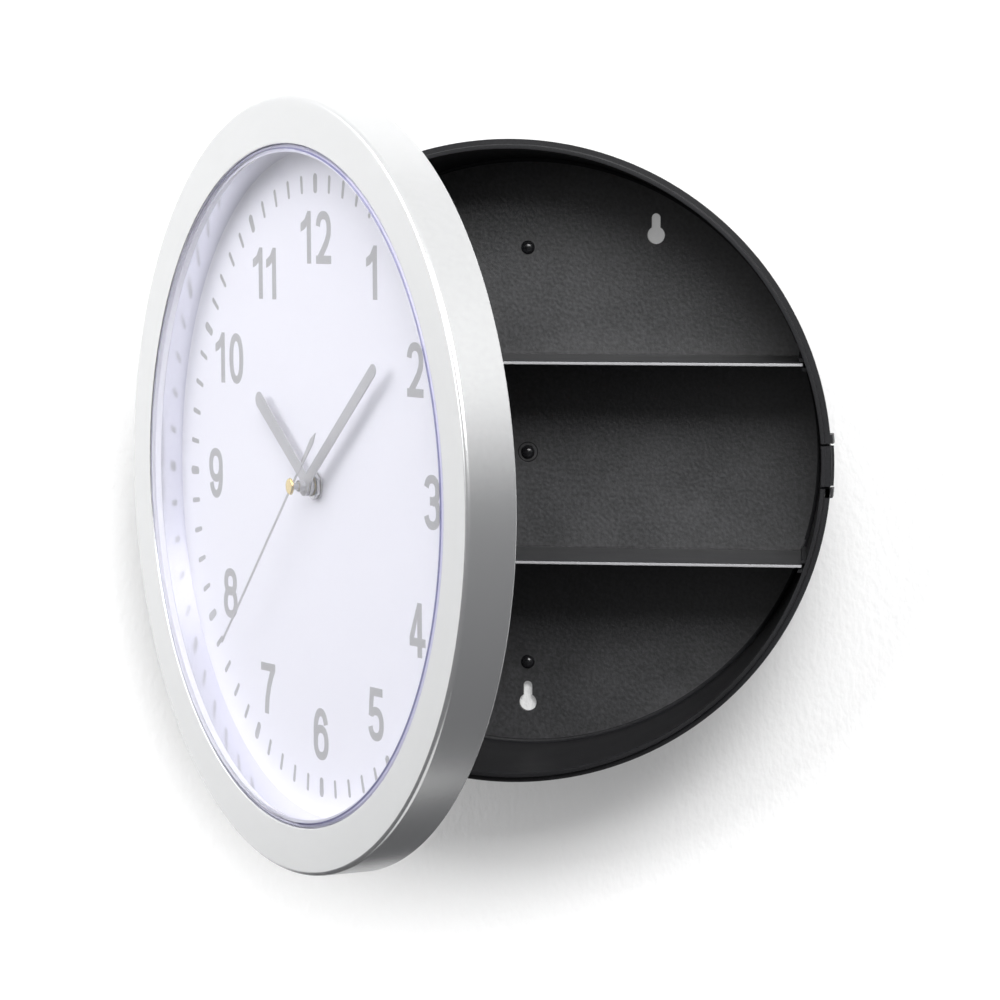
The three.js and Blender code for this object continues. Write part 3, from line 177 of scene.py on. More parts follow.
room = bpy.data.worlds.new("room")
bpy.context.scene.world = room
room.use_nodes = True
room_nodes, room_links = room.node_tree.nodes, room.node_tree.links
direction = room_nodes.new("ShaderNodeTexCoord")
split = room_nodes.new("ShaderNodeSeparateXYZ")
rescale = room_nodes.new("ShaderNodeMapRange")
rescale.inputs["From Min"].default_value = -1
height = room_nodes.new("ShaderNodeValToRGB")
height.color_ramp.elements[0].position = GREY_UP_TO
height.color_ramp.elements[0].color = ROOM_GREY
height.color_ramp.elements[1].position = WHITE_FROM
height.color_ramp.elements[1].color = ROOM_WHITE
seen_by = room_nodes.new("ShaderNodeLightPath")
direct = room_nodes.new("ShaderNodeMath")
direct.operation = "MAXIMUM"
backdrop = room_nodes.new("ShaderNodeMix")
backdrop.data_type = "RGBA"
backdrop.inputs["B"].default_value = ROOM_WHITE
room_links.new(direction.outputs["Generated"], split.inputs["Vector"])
room_links.new(split.outputs["Z"], rescale.inputs["Value"])
room_links.new(rescale.outputs["Result"], height.inputs["Fac"])
room_links.new(seen_by.outputs["Is Camera Ray"], direct.inputs[0])
room_links.new(seen_by.outputs["Is Transmission Ray"], direct.inputs[1])
room_links.new(direct.outputs[0], backdrop.inputs["Factor"])
room_links.new(height.outputs["Color"], backdrop.inputs["A"])
room_links.new(backdrop.outputs["Result"], room_nodes["Background"].inputs["Color"])


# Drum. The back case is moulded in black plastic with a fine spark-eroded grain: a shallow
# pan with a thin collar round its mouth, ribs for the shelves, keyholes and hinge lugs.
DRUM_DEPTH = 54
DRUM_RADIUS = 113
DRUM_BACK_RADIUS = 108.5
COLLAR_RADIUS = 111
COLLAR_INNER = 109.5
FLOOR_RADIUS = 106.2
FLOOR_DEPTH = -2.2
SHOULDER = -52
SHELF_LEVELS = (35, -35)
RIB_GAP = 0.95
RIB_THICKNESS = 1.3
RIB_RISE = 1.4
GUIDE_LENGTH = 8
GUIDE_RADIUS = DRUM_RADIUS + 0.8
HINGE_X = -118.6
HINGE_Y = -57.2
KNUCKLE_RADIUS = 3.2
PIN_BORE_RADIUS = 1.5
LUG_SPANS = ((8.6, 18), (-18, -8.6))
KEYHOLE_RADIUS = 3.2
KEYHOLE_SLOT_RADIUS = 1.65
KEYHOLE_RISE = 6.15
KEYHOLES = ((46.3, 78.5), (-46.3, 78.5), (0, -91.4))
PLUG_HEIGHTS = {"upper": 74, "middle": 0, "lower": -76.5}
TONGUE = 7
SLOT = 0.8
TONGUE_ROOT = -34
TONGUE_INSIDE = 103.9


def moulded(
    name, dark, pale, roughness, grain, relief, metal=0.0, mottle=30, gloss=0.08, shine=0.5
):
    """A finish whose colour drifts from dark to pale. Grain counts bumps to the millimetre,
    relief is their height, nothing for smooth paint, and mottle the size of the colour's
    patches. Gloss is how far the roughness drifts with them, and shine the surface's gloss."""
    look = bpy.data.materials.new(name)
    look.use_nodes = True
    nodes, links = look.node_tree.nodes, look.node_tree.links
    shader = nodes["Principled BSDF"]
    shader.inputs["Metallic"].default_value = metal
    shader.inputs["Roughness"].default_value = roughness
    shader.inputs["Specular IOR Level"].default_value = shine
    place = nodes.new("ShaderNodeTexCoord")
    patches = nodes.new("ShaderNodeTexNoise")
    patches.inputs["Scale"].default_value = 1000 / mottle
    patches.inputs["Detail"].default_value = 4
    specks = nodes.new("ShaderNodeTexNoise")
    specks.inputs["Scale"].default_value = 1000 * grain
    specks.inputs["Detail"].default_value = 2
    shade = nodes.new("ShaderNodeMath")
    shade.operation = "MULTIPLY_ADD"
    shade.inputs[1].default_value = 0.4
    ramp = nodes.new("ShaderNodeValToRGB")
    ramp.color_ramp.elements[0].position = 0.5
    ramp.color_ramp.elements[0].color = (*dark, 1)
    ramp.color_ramp.elements[1].position = 0.9
    ramp.color_ramp.elements[1].color = (*pale, 1)
    for texture in (patches, specks):
        links.new(place.outputs["Object"], texture.inputs["Vector"])
    links.new(patches.outputs["Fac"], shade.inputs[0])
    links.new(specks.outputs["Fac"], shade.inputs[2])
    links.new(shade.outputs[0], ramp.inputs["Fac"])
    links.new(ramp.outputs["Color"], shader.inputs["Base Color"])
    if gloss:
        sheen = nodes.new("ShaderNodeMapRange")
        sheen.inputs["From Min"].default_value = 0.3
        sheen.inputs["From Max"].default_value = 0.7
        sheen.inputs["To Min"].default_value = roughness - gloss / 2
        sheen.inputs["To Max"].default_value = roughness + gloss / 2
        links.new(patches.outputs["Fac"], sheen.inputs["Value"])
        links.new(sheen.outputs["Result"], shader.inputs["Roughness"])
    if relief:
        bump = nodes.new("ShaderNodeBump")
        bump.inputs["Strength"].default_value = 1
        bump.inputs["Distance"].default_value = relief * MM
        links.new(specks.outputs["Fac"], bump.inputs["Height"])
        links.new(bump.outputs["Normal"], shader.inputs["Normal"])
    return look


def take(piece):
    """Selects one piece and nothing else."""
    bpy.ops.object.select_all(action="DESELECT")
    piece.select_set(True)
    bpy.context.view_layer.objects.active = piece


def edit(piece):
    take(piece)
    bpy.ops.object.mode_set(mode="EDIT")
    bpy.ops.mesh.select_all(action="SELECT")


def leave_edit():
    bpy.ops.object.mode_set(mode="OBJECT")


def edit_part(piece, wanted, faces=False):
    """Opens a piece for editing with only the wanted points or faces selected."""
    edit(piece)
    bpy.ops.mesh.select_all(action="DESELECT")
    leave_edit()
    for element in piece.data.polygons if faces else piece.data.vertices:
        element.select = wanted(element)
    bpy.ops.object.mode_set(mode="EDIT")


def turned(name, outline, around=192, filled=False):
    """Turns an outline of (radius, depth) pairs round the clock's axis, as on a lathe: a ring
    is drawn and extruded from point to point. A filled piece starts and ends in a disc."""
    radius, depth = outline[0]
    bpy.ops.object.select_all(action="DESELECT")
    bpy.ops.mesh.primitive_circle_add(
        vertices=around,
        radius=radius * MM,
        fill_type="TRIFAN" if filled else "NOTHING",
        location=(0, depth * MM, 0),
        rotation=(math.pi / 2, 0, 0),
    )
    piece = bpy.context.object
    piece.name = piece.data.name = name
    bpy.ops.object.transform_apply()
    edit(piece)
    for (r0, d0), (r1, d1) in zip(outline, outline[1:]):
        bpy.ops.mesh.extrude_region_move(TRANSFORM_OT_translate={"value": (0, (d1 - d0) * MM, 0)})
        bpy.ops.transform.resize(value=(r1 / r0, 1, r1 / r0), center_override=(0, 0, 0))
    bpy.ops.mesh.select_all(action="SELECT")
    bpy.ops.mesh.remove_doubles(threshold=0.002 * MM)
    bpy.ops.mesh.normals_make_consistent(inside=False)
    leave_edit()
    return piece


def round_edges(piece, width, segments=2, over=35):
    """Breaks the piece's sharp edges, as a mould or a file does."""
    bevel = piece.modifiers.new("edges", "BEVEL")
    bevel.width = width * MM
    bevel.segments = segments
    bevel.limit_method = "ANGLE"
    bevel.angle_limit = math.radians(over)
    bevel.use_clamp_overlap = True
    bevel.miter_outer = "MITER_ARC"
    apply_last(piece)


def apply_last(piece):
    take(piece)
    bpy.ops.object.modifier_apply(modifier=piece.modifiers[-1].name)


def shape_with(piece, tool, how, keep_tool=False):
    """Cuts the tool out of the piece, adds it, or keeps only what lies in both."""
    boolean = piece.modifiers.new("shape", "BOOLEAN")
    boolean.operation = how
    boolean.solver = "EXACT"
    boolean.object = tool
    apply_last(piece)
    if not keep_tool:
        bpy.data.objects.remove(tool)
    return piece


def block(low, high, name="block"):
    """A squared block between two corners."""
    bpy.ops.object.select_all(action="DESELECT")
    middle = [(a + b) / 2 * MM for a, b in zip(low, high)]
    bpy.ops.mesh.primitive_cube_add(size=1, location=middle)
    piece = bpy.context.object
    piece.name = piece.data.name = name
    piece.scale = [(b - a) * MM for a, b in zip(low, high)]
    bpy.ops.object.transform_apply()
    return piece


def rod(name, x, y, low, high, radius, around):
    """An upright round bar between two heights."""
    bpy.ops.object.select_all(action="DESELECT")
    bpy.ops.mesh.primitive_cylinder_add(
        vertices=around,
        radius=radius * MM,
        depth=(high - low) * MM,
        location=(x * MM, y * MM, (low + high) / 2 * MM),
    )
    piece = bpy.context.object
    piece.name = piece.data.name = name
    bpy.ops.object.transform_apply()
    return piece


def together(pieces, name):
    """Pieces that don't touch each other, made one object."""
    bpy.ops.object.select_all(action="DESELECT")
    for piece in pieces:
        piece.select_set(True)
    first = pieces[0]
    bpy.context.view_layer.objects.active = first
    bpy.ops.object.join()
    first.name = first.data.name = name
    return first


def copy_of(piece, name):
    """A second piece with a mesh of its own."""
    twin = piece.copy()
    twin.data = piece.data.copy()
    twin.name = twin.data.name = name
    bpy.context.scene.collection.objects.link(twin)
    return twin


def moved(piece, x=0, y=0, z=0):
    piece.data.transform(Matrix.Translation((x * MM, y * MM, z * MM)))
    return piece


def smooth(piece, over=35):
    """Shades roundings smooth and leaves broad faces flat."""
    take(piece)
    bpy.ops.object.shade_smooth_by_angle(angle=math.radians(over))
    flat_faces = piece.modifiers.new("flat_faces", "WEIGHTED_NORMAL")
    flat_faces.keep_sharp = True
    apply_last(piece)


def done(piece, body, slot, looks, *nodes, over=35):
    """Paints a finished piece and hangs it on its body in place of the plain solids."""
    piece.data.materials.clear()
    for look in looks if isinstance(looks, (list, tuple)) else [looks]:
        piece.data.materials.append(look)
    smooth(piece, over)
    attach(piece, body)
    if nodes:
        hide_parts(*nodes)
    return piece


def arc(radius, depth, size, start, end, steps=6):
    """Points of a rounding of that size about (radius, depth), from one bearing to another."""
    turn = [math.radians(start + (end - start) * i / steps) for i in range(steps + 1)]
    return [(radius + size * math.cos(a), depth + size * math.sin(a)) for a in turn]


def inner_radius(depth):
    """The drum's wall tapers. This is its inside at a depth."""
    share = (depth + DRUM_DEPTH) / (FLOOR_DEPTH + DRUM_DEPTH)
    return COLLAR_INNER + share * (FLOOR_RADIUS - COLLAR_INNER)


def outer_radius(depth):
    share = (depth - SHOULDER) / -SHOULDER
    return DRUM_RADIUS - share * (DRUM_RADIUS - DRUM_BACK_RADIUS)


drum_black = moulded(
    "drum_black", (0.01, 0.01, 0.011), (0.017, 0.017, 0.019), 0.46, 1.5, 0.012, shine=0.25
)
drum_grain = moulded(
    "drum_grain", (0.01, 0.01, 0.011), (0.034, 0.034, 0.037), 0.45, 0.8, 0.08, shine=1
)
shell = turned(
    "drum_shell",
    [
        *arc(outer_radius(-3) - 3, -3, 3, 90, 0),
        (outer_radius(-48.6), -48.6),
        (DRUM_RADIUS, SHOULDER),
        (COLLAR_RADIUS, SHOULDER),
        (COLLAR_RADIUS, -DRUM_DEPTH),
        (COLLAR_INNER, -DRUM_DEPTH),
        *arc(inner_radius(-3.7) - 1.5, FLOOR_DEPTH - 1.5, 1.5, 0, 90, 4),
    ],
    filled=True,
)
round_edges(shell, 0.22)
tongue_shell = copy_of(shell, "latch_spring")

# ribs that hold the shelves' ends
liner = turned(
    "ribs",
    [
        (inner_radius(-1.7) - RIB_RISE, -1.7),
        (inner_radius(-51) - RIB_RISE, -51),
        (inner_radius(-51) + 0.5, -51),
        (inner_radius(-1.7) + 0.5, -1.7),
        (inner_radius(-1.7) - RIB_RISE, -1.7),
    ],
)
slices = []
for level in SHELF_LEVELS:
    for bottom in (level + RIB_GAP, level - RIB_GAP - RIB_THICKNESS):
        slices.append(block((-115, -54, bottom), (115, 0, bottom + RIB_THICKNESS)))
shape_with(liner, together(slices, "slices"), "INTERSECT")
shape_with(shell, liner, "UNION")

# guides each side of the latch
guide = turned(
    "guides",
    [
        (110, SHOULDER),
        (GUIDE_RADIUS, SHOULDER),
        (GUIDE_RADIUS, SHOULDER + GUIDE_LENGTH),
        (110, SHOULDER + GUIDE_LENGTH),
        (110, SHOULDER),
    ],
)
round_edges(guide, 0.3)
above_latch = block((100, -54, TONGUE + SLOT), (118, -40, 11))
below_latch = block((100, -54, -11), (118, -40, -TONGUE - SLOT))
shape_with(guide, together([above_latch, below_latch], "guide_spans"), "INTERSECT")
shape_with(shell, guide, "UNION")

# lugs that carry the hinge pin
for low, high in LUG_SPANS:
    lug = rod("lug", HINGE_X, HINGE_Y, low, high, KNUCKLE_RADIUS, 48)
    back = HINGE_Y + 9.5
    arm = block((HINGE_X, HINGE_Y, low), (HINGE_X + KNUCKLE_RADIUS, back, high))
    shape_with(lug, arm, "UNION")
    foot = block((HINGE_X, HINGE_Y + 5.8, low), (-109.5, back, high))
    shape_with(lug, foot, "UNION")
    round_edges(lug, 0.3)
    shape_with(shell, lug, "UNION")
pin_hole = rod("pin_hole", HINGE_X, HINGE_Y, -20, 20, PIN_BORE_RADIUS, 32)
shape_with(shell, pin_hole, "DIFFERENCE")


def keyhole(x, z):
    """A round hole with a narrow slot rising from it."""
    wide, narrow = KEYHOLE_RADIUS, KEYHOLE_SLOT_RADIUS
    hole = turned("keyhole", [(wide, -6), (wide, 2)], around=48, filled=True)
    end = turned("slot_end", [(narrow, -6), (narrow, 2)], around=32, filled=True)
    shape_with(hole, block((-narrow, -6, 0), (narrow, 2, KEYHOLE_RISE)), "UNION")
    shape_with(hole, moved(end, z=KEYHOLE_RISE), "UNION")
    return moved(hole, x=x, z=z)


for x, z in KEYHOLES:
    shape_with(shell, keyhole(x, z), "DIFFERENCE")

# sockets for the plugs, a groove round the middle one and the window for the latch
for z in PLUG_HEIGHTS.values():
    socket = turned("socket", [(1.9, -3), (1.9, -0.85)], around=32, filled=True)
    shape_with(shell, moved(socket, z=z), "DIFFERENCE")
ring = turned("ring", [(3.3, -3), (3.7, -3), (3.7, -1.95), (3.3, -1.95), (3.3, -3)], around=64)
shape_with(shell, ring, "DIFFERENCE")
window = block((TONGUE_INSIDE, -55, -TONGUE - SLOT), (115, TONGUE_ROOT + 0.3, TONGUE + SLOT))
shape_with(shell, window, "DIFFERENCE")
done(shell, "drum", "drum_plastic", [drum_black, drum_grain], "back_case")
# only the floor has the coarse grain
for face in shell.data.polygons:
    from_axis = math.hypot(face.center.x, face.center.z) / MM
    depth = face.center.y / MM
    if from_axis < inner_radius(depth) and abs(depth - FLOOR_DEPTH) < 0.05:
        face.material_index = 1


# Latch. A springy tongue, part of the same moulding, is freed from the rim by a slot on each
# side. A bead stiffens it, and its small catch holds the shut door.
tongue_space = block((TONGUE_INSIDE, -55, -TONGUE), (115, TONGUE_ROOT, TONGUE))
shape_with(tongue_shell, tongue_space, "INTERSECT", keep_tool=True)
bead = turned(
    "bead",
    [
        (110, -49.8),
        (outer_radius(-49.8), -49.8),
        (113.55, -48.9),
        (113.75, -48.6),
        (113.55, -48.3),
        (outer_radius(-47.4), -47.4),
        (110, -47.4),
        (110, -49.8),
    ],
)
shape_with(bead, tongue_space, "INTERSECT", keep_tool=True)
shape_with(tongue_shell, bead, "UNION")
catch = turned(
    "catch",
    [
        (110, -53.7),
        (111, -53.7),
        (112.5, -53.15),
        (112.7, -53),
        (112.5, -52.85),
        (111, -52.3),
        (110, -52.3),
        (110, -53.7),
    ],
)
shape_with(catch, tongue_space, "INTERSECT")
shape_with(tongue_shell, catch, "UNION")
done(tongue_shell, "latch", "drum_plastic", drum_black, "latch_tongue")


# Plugs. Three domed plugs, glossy and rubber-black, are pressed into sockets in the drum's
# floor, one in each compartment.
DOME_RADIUS = 2.5
DOME_RISE = 1.7
STEM_RADIUS = 1.6
DOME_FOOT = -2.3

plug_black = moulded(
    "plug_black", (0.008, 0.008, 0.009), (0.014, 0.014, 0.016), 0.22, 2.5, 0.01, mottle=6
)
dome = []
for bearing in range(90, 5, -12):
    turn = math.radians(bearing)
    dome.append((DOME_RADIUS * math.sin(turn), DOME_FOOT - DOME_RISE * math.cos(turn)))
for place_name, z in PLUG_HEIGHTS.items():
    outline = [(STEM_RADIUS, -1.1), (STEM_RADIUS, DOME_FOOT), *dome]
    plug = turned("plug_" + place_name, outline, around=48, filled=True)
    moved(plug, z=z)
    done(plug, "drum", "plug_plastic", plug_black, "back_plug_" + place_name)


# Shelves. Two flat plates of satin black plastic slide between the ribs. Their front edges
# are rounded and catch the light, which is painted on their front faces as a pale grey highlight.
SHELF_FRONT = -52
SHELF_BACK = -2.5
SHELF_THICKNESS = 1.3

shelf_black = moulded("shelf_black", (0.018, 0.018, 0.02), (0.026, 0.026, 0.029), 0.36, 1.2, 0.012)
# the pale grey of the shelves' front faces is a painted highlight
shelf_painted_highlight = moulded("shelf_painted_highlight", (0.34, 0.34, 0.35), (0.4, 0.4, 0.41), 0.28, 1.5, 0.008)


def shelf_half(depth):
    """Half of a shelf's width, a little short of the drum's wall."""
    edge = SHELF_LEVELS[0] + SHELF_THICKNESS / 2
    return math.sqrt(inner_radius(depth) ** 2 - edge**2) - 0.4


for name, level in zip(("shelf_upper", "shelf_lower"), SHELF_LEVELS):
    half = shelf_half(SHELF_FRONT)
    shelf = block(
        (-half, SHELF_FRONT, level - SHELF_THICKNESS / 2),
        (half, SHELF_BACK, level + SHELF_THICKNESS / 2),
        name + "_plate",
    )
    edit_part(shelf, lambda vertex: vertex.co.y > -10 * MM)
    narrow = shelf_half(SHELF_BACK) / half
    bpy.ops.transform.resize(value=(narrow, 1, 1), center_override=(0, 0, 0))
    leave_edit()
    round_edges(shelf, 0.35, 4)
    done(shelf, "drum", "shelf_plastic", [shelf_black, shelf_painted_highlight], name)
    # the front faces take the painted highlight
    for face in shelf.data.polygons:
        if face.normal.y < -0.9:
            face.material_index = 1


# Hinge pin. A steel pin with a domed head drops through the lugs and the door's knuckle.
# Its head rests on the upper lug.
PIN_RADIUS = 1.2
PIN_LOW, PIN_HIGH = -18, 18.3
HEAD_SPREAD = 1.9 / PIN_RADIUS
HEAD_RISE = 0.8

steel = moulded("steel", (0.5, 0.5, 0.51), (0.62, 0.62, 0.63), 0.28, 3, 0.004, metal=1, mottle=5)
pin = rod("pin", HINGE_X, HINGE_Y, PIN_LOW, PIN_HIGH, PIN_RADIUS, 32)
edit_part(pin, lambda face: face.normal.z > 0.9, faces=True)
bpy.ops.mesh.extrude_region_move(TRANSFORM_OT_translate={"value": (0, 0, 0)})
bpy.ops.transform.resize(
    value=(HEAD_SPREAD, HEAD_SPREAD, 1), center_override=(HINGE_X * MM, HINGE_Y * MM, 0)
)
bpy.ops.mesh.extrude_region_move(TRANSFORM_OT_translate={"value": (0, 0, HEAD_RISE * MM)})
leave_edit()
round_edges(pin, 0.25, 3)
done(pin, "drum", "steel", steel, "hinge_pin")


# Door. All its pieces are drawn with the door shut, their depths counted back from the
# bezel's front, and then swung open on the hinge pin as the clock is shown.
DOOR_FRONT = -69.3
joints = {joint["name"]: joint for joint in frame["joints"]}
pivot = Matrix.Translation(Vector(joints["door_hinge"]["pos_m"]))
opening = Matrix.Rotation(
    math.radians(-joints["door_hinge"]["range_deg"][0]), 4, Vector(joints["door_hinge"]["axis"])
)
swing = pivot @ opening @ pivot.inverted() @ Matrix.Translation((0, DOOR_FRONT * MM, 0))


def hung(piece, body, slot, looks, *nodes, over=35):
    """Swings a finished door piece to where the door stands, and hangs it there."""
    piece.data.transform(swing)
    return done(piece, body, slot, looks, *nodes, over=over)


# Bezel. One silver-painted plastic moulding: a flat face with rounded edges and a deep
# skirt, with a wall behind the face that seats the lens and the dial. Bosses take the
# cover's screws, and two notches in the skirt clear the drum's lugs.
BEZEL_OPENING = 111.5
BEZEL_RADIUS = 127
DOOR_DEPTH = 17.1
SCREW_CIRCLE = 119.95
NOTCH_FRONT = 11.6
NOTCH_HEIGHT = 10.4
NOTCH_LOWS = (8.1, -18.5)

bezel_silver = moulded(
    "bezel_silver",
    (0.69, 0.695, 0.7),
    (0.71, 0.715, 0.72),
    roughness=0.27,
    grain=0.5,
    relief=0,
    metal=0.85,
    mottle=45,
    gloss=0,
)
bezel = turned(
    "bezel",
    [
        (BEZEL_OPENING, 2.2),
        *arc(BEZEL_OPENING + 0.5, 0.5, 0.5, 180, 270, 4),
        *arc(BEZEL_RADIUS - 1.4, 1.4, 1.4, 270, 360, 8),
        *arc(BEZEL_RADIUS - 0.5, DOOR_DEPTH - 0.5, 0.5, 0, 90, 4),
        (124.8, DOOR_DEPTH),
        (124.8, 2.2),
        (115.1, 2.2),
        (115.1, 12.5),
        (113.8, 12.5),
        (113.8, 2.2),
        (BEZEL_OPENING, 2.2),
    ],
    around=256,
)
screw_places = []
for i in range(6):
    bearing = math.radians(30 + 60 * i)
    screw_places.append((SCREW_CIRCLE * math.sin(bearing), SCREW_CIRCLE * math.cos(bearing)))
for x, z in screw_places:
    boss = turned("boss", [(1.5, 5.1), (3, 5.1), (3, 14.2), (1.5, 14.2), (1.5, 5.1)], around=32)
    foot = turned("boss_foot", [(3, 1.6), (3, 5.1)], around=32, filled=True)
    shape_with(boss, foot, "UNION")
    shape_with(bezel, moved(boss, x=x, z=z), "UNION")
for low in NOTCH_LOWS:
    notch = block((-129, NOTCH_FRONT, low), (-121.8, 19, low + NOTCH_HEIGHT))
    shape_with(bezel, notch, "DIFFERENCE")
hung(bezel, "door", "bezel_silver", bezel_silver, "bezel_ring")


# Lens. A clear moulded window, a shallow pan whose flat face stands proud of the bezel. Its
# bevel is tinted violet, and the dark violet-grey line at its inner edge is painted shade,
# in place of the light that the bevel bends.
FACE_RADIUS = 109.4
CLEAR, RIM, LINE, FROST = range(4)


def clear_plastic(name, tint, gloss, veil, veil_colour):
    """Clear plastic that mirrors more at a slant, under a thin matt veil: a pale one where it is
    dull, or a dark one that paints in shade.
    """
    look = bpy.data.materials.new(name)
    look.use_nodes = True
    nodes, links = look.node_tree.nodes, look.node_tree.links
    nodes.remove(nodes["Principled BSDF"])
    through = nodes.new("ShaderNodeBsdfTransparent")
    through.inputs["Color"].default_value = (*tint, 1)
    shine = nodes.new("ShaderNodeBsdfGlossy")
    place = nodes.new("ShaderNodeTexCoord")
    smear = nodes.new("ShaderNodeTexNoise")
    smear.inputs["Scale"].default_value = 30
    dull = nodes.new("ShaderNodeMapRange")
    dull.inputs["To Min"].default_value = gloss
    dull.inputs["To Max"].default_value = gloss + 0.03
    links.new(place.outputs["Object"], smear.inputs["Vector"])
    links.new(smear.outputs["Fac"], dull.inputs["Value"])
    links.new(dull.outputs["Result"], shine.inputs["Roughness"])
    haze = nodes.new("ShaderNodeBsdfDiffuse")
    haze.inputs["Color"].default_value = (*veil_colour, 1)
    body = nodes.new("ShaderNodeMixShader")
    body.inputs["Fac"].default_value = veil
    links.new(through.outputs["BSDF"], body.inputs[1])
    links.new(haze.outputs["BSDF"], body.inputs[2])
    edge_on = nodes.new("ShaderNodeLayerWeight")
    edge_on.inputs["Blend"].default_value = 0.5
    steep = nodes.new("ShaderNodeMath")
    steep.operation = "POWER"
    steep.inputs[1].default_value = 5
    mirror = nodes.new("ShaderNodeMath")
    mirror.operation = "MULTIPLY_ADD"
    mirror.inputs[1].default_value = 0.96
    mirror.inputs[2].default_value = 0.04
    surface = nodes.new("ShaderNodeMixShader")
    links.new(edge_on.outputs["Facing"], steep.inputs[0])
    links.new(steep.outputs[0], mirror.inputs[0])
    links.new(mirror.outputs[0], surface.inputs["Fac"])
    links.new(body.outputs["Shader"], surface.inputs[1])
    links.new(shine.outputs["BSDF"], surface.inputs[2])
    links.new(surface.outputs["Shader"], nodes["Material Output"].inputs["Surface"])
    return look


lens_clear = clear_plastic("lens_clear", (0.99, 0.99, 1), 0.0, 0.0, (0.9, 0.9, 1))
lens_rim = clear_plastic("lens_rim", (0.86, 0.85, 0.97), 0.03, 0.3, (0.62, 0.61, 0.78))
# the dark violet veil of the bevel's line is painted shade
lens_shade_line = clear_plastic("lens_shade_line", (0.45, 0.45, 0.62), 0.03, 0.5, (0.14, 0.14, 0.27))
lens_frost = clear_plastic("lens_frost", (0.96, 0.96, 0.99), 0.05, 0.85, (0.92, 0.92, 0.97))
lens = turned(
    "window",
    [
        (FACE_RADIUS, -0.5),
        (109.8, -0.23),
        (110.35, 0.13),
        (111.2, 0.7),
        (111.2, 2.5),
        (113.5, 2.5),
        (113.5, 3.6),
        (110.1, 3.6),
        (110.1, 1.2),
        (108.85, 0.6),
    ],
    around=256,
    filled=True,
)
zones = []
for face in lens.data.polygons:
    from_axis = math.hypot(face.center.x, face.center.z) / MM
    depth = face.center.y / MM
    if from_axis > 108.9 and depth > 0.61:
        zones.append(FROST)
    elif 109.8 < from_axis < 110.35 and depth < 0.3:
        zones.append(LINE)
    elif from_axis > 110.35 and depth < 0.6:
        zones.append(RIM)
    else:
        zones.append(CLEAR)
hung(lens, "door", "lens_clear", [lens_clear, lens_rim, lens_shade_line, lens_frost], "lens", over=20)
for face, zone in zip(lens.data.polygons, zones):
    face.material_index = zone


# Spacer. A white plastic ring keeps the lens off the hands. Its slightly conical inner face
# is polished, and mirrors the edge of the dial and its minute marks.
SEAT_RADIUS = 113.5

spacer_white = moulded(
    "spacer_white",
    (0.8, 0.8, 0.88),
    (0.86, 0.86, 0.93),
    roughness=0.14,
    grain=1.5,
    relief=0,
    metal=0.92,
    mottle=18,
    gloss=0.05,
)
spacer = turned(
    "spacer",
    [(110.1, 3.7), (SEAT_RADIUS, 3.7), (SEAT_RADIUS, 11.37), (109.6, 11.37), (110.1, 3.7)],
    around=256,
)
hung(spacer, "door", "spacer_white", spacer_white, "spacer_ring")


# Dial. A white card disc with a hole for the movement's bush, screen-printed in grey with
# plain numerals and a ring of minute marks. The print is a little off centre and turned by
# under a degree, and the numerals 10 and 11 stand a little nearer to the middle.
BUSH_HOLE = 3.5
DIAL_FACE = 11.4
DIAL_BACK = 12.4
PRINT = 0.04
PRINT_SHIFT = (0.8, -0.5)
PRINT_TURN = -0.9
MARK_RADIUS = 99.1
HOUR_MARK = (6.6, 3.0)
MINUTE_MARK = (6.1, 1.75)
NUMERAL_RADIUS = 81.5
LEFT_NUMERAL_RADIUS = 80
DIGIT_WIDTH, DIGIT_HEIGHT = 11.2, 17.2
ONE_WIDTH = 7.7
DIGIT_GAP, ELEVEN_GAP = 3.8, 2.9
STEM, CROSSBAR = 3.1, 2.7

dial_white = moulded(
    "dial_white", (0.84, 0.84, 0.9), (0.87, 0.87, 0.93), 0.55, 2.5, 0.004, mottle=60
)
dial = turned(
    "dial_disc",
    [
        (BUSH_HOLE, DIAL_FACE),
        (SEAT_RADIUS, DIAL_FACE),
        (SEAT_RADIUS, DIAL_BACK),
        (BUSH_HOLE, DIAL_BACK),
        (BUSH_HOLE, DIAL_FACE),
    ],
    around=256,
)
hung(dial, "door", "dial_white", dial_white, "dial")
print_grey = moulded("print_grey", (0.36, 0.36, 0.37), (0.41, 0.41, 0.42), 0.5, 3, 0.003)


def flat_shape(points, name="stroke"):
    """A flat printed shape with the given outline, its foot at the middle of the dial."""
    bpy.ops.object.select_all(action="DESELECT")
    bpy.ops.mesh.primitive_circle_add(vertices=len(points), radius=MM, fill_type="NGON")
    shape = bpy.context.object
    shape.name = shape.data.name = name
    for vertex, (x, z) in zip(shape.data.vertices, points):
        vertex.co = (x * MM, (DIAL_FACE - PRINT) * MM, z * MM)
    edit(shape)
    bpy.ops.mesh.extrude_region_move(TRANSFORM_OT_translate={"value": (0, PRINT * MM, 0)})
    bpy.ops.mesh.select_all(action="SELECT")
    bpy.ops.mesh.normals_make_consistent(inside=False)
    leave_edit()
    return shape


def stroke(path):
    """A stroke of a broad pen along a path, as wide as a stem when it runs upright."""
    left, right = [], []
    for i, (x, z) in enumerate(path):
        x0, z0 = path[max(i - 1, 0)]
        x1, z1 = path[min(i + 1, len(path) - 1)]
        length = math.hypot(x1 - x0, z1 - z0)
        across, up = (z1 - z0) / length * STEM / 2, -(x1 - x0) / length * CROSSBAR / 2
        left.append((x + STEM / 2 - across, z + CROSSBAR / 2 - up))
        right.append((x + STEM / 2 + across, z + CROSSBAR / 2 + up))
    return flat_shape(left + right[::-1])


def bowl(x, z, wide, tall, start, end, steps=20, square=2.3):
    """Part of a rounded bowl's middle line, from one bearing to another."""
    points = []
    for i in range(steps + 1):
        angle = math.radians(start + (end - start) * i / steps)
        c, d = math.cos(angle), math.sin(angle)
        points.append(
            (
                x + wide * math.copysign(abs(c) ** (2 / square), c),
                z + tall * math.copysign(abs(d) ** (2 / square), d),
            )
        )
    return points


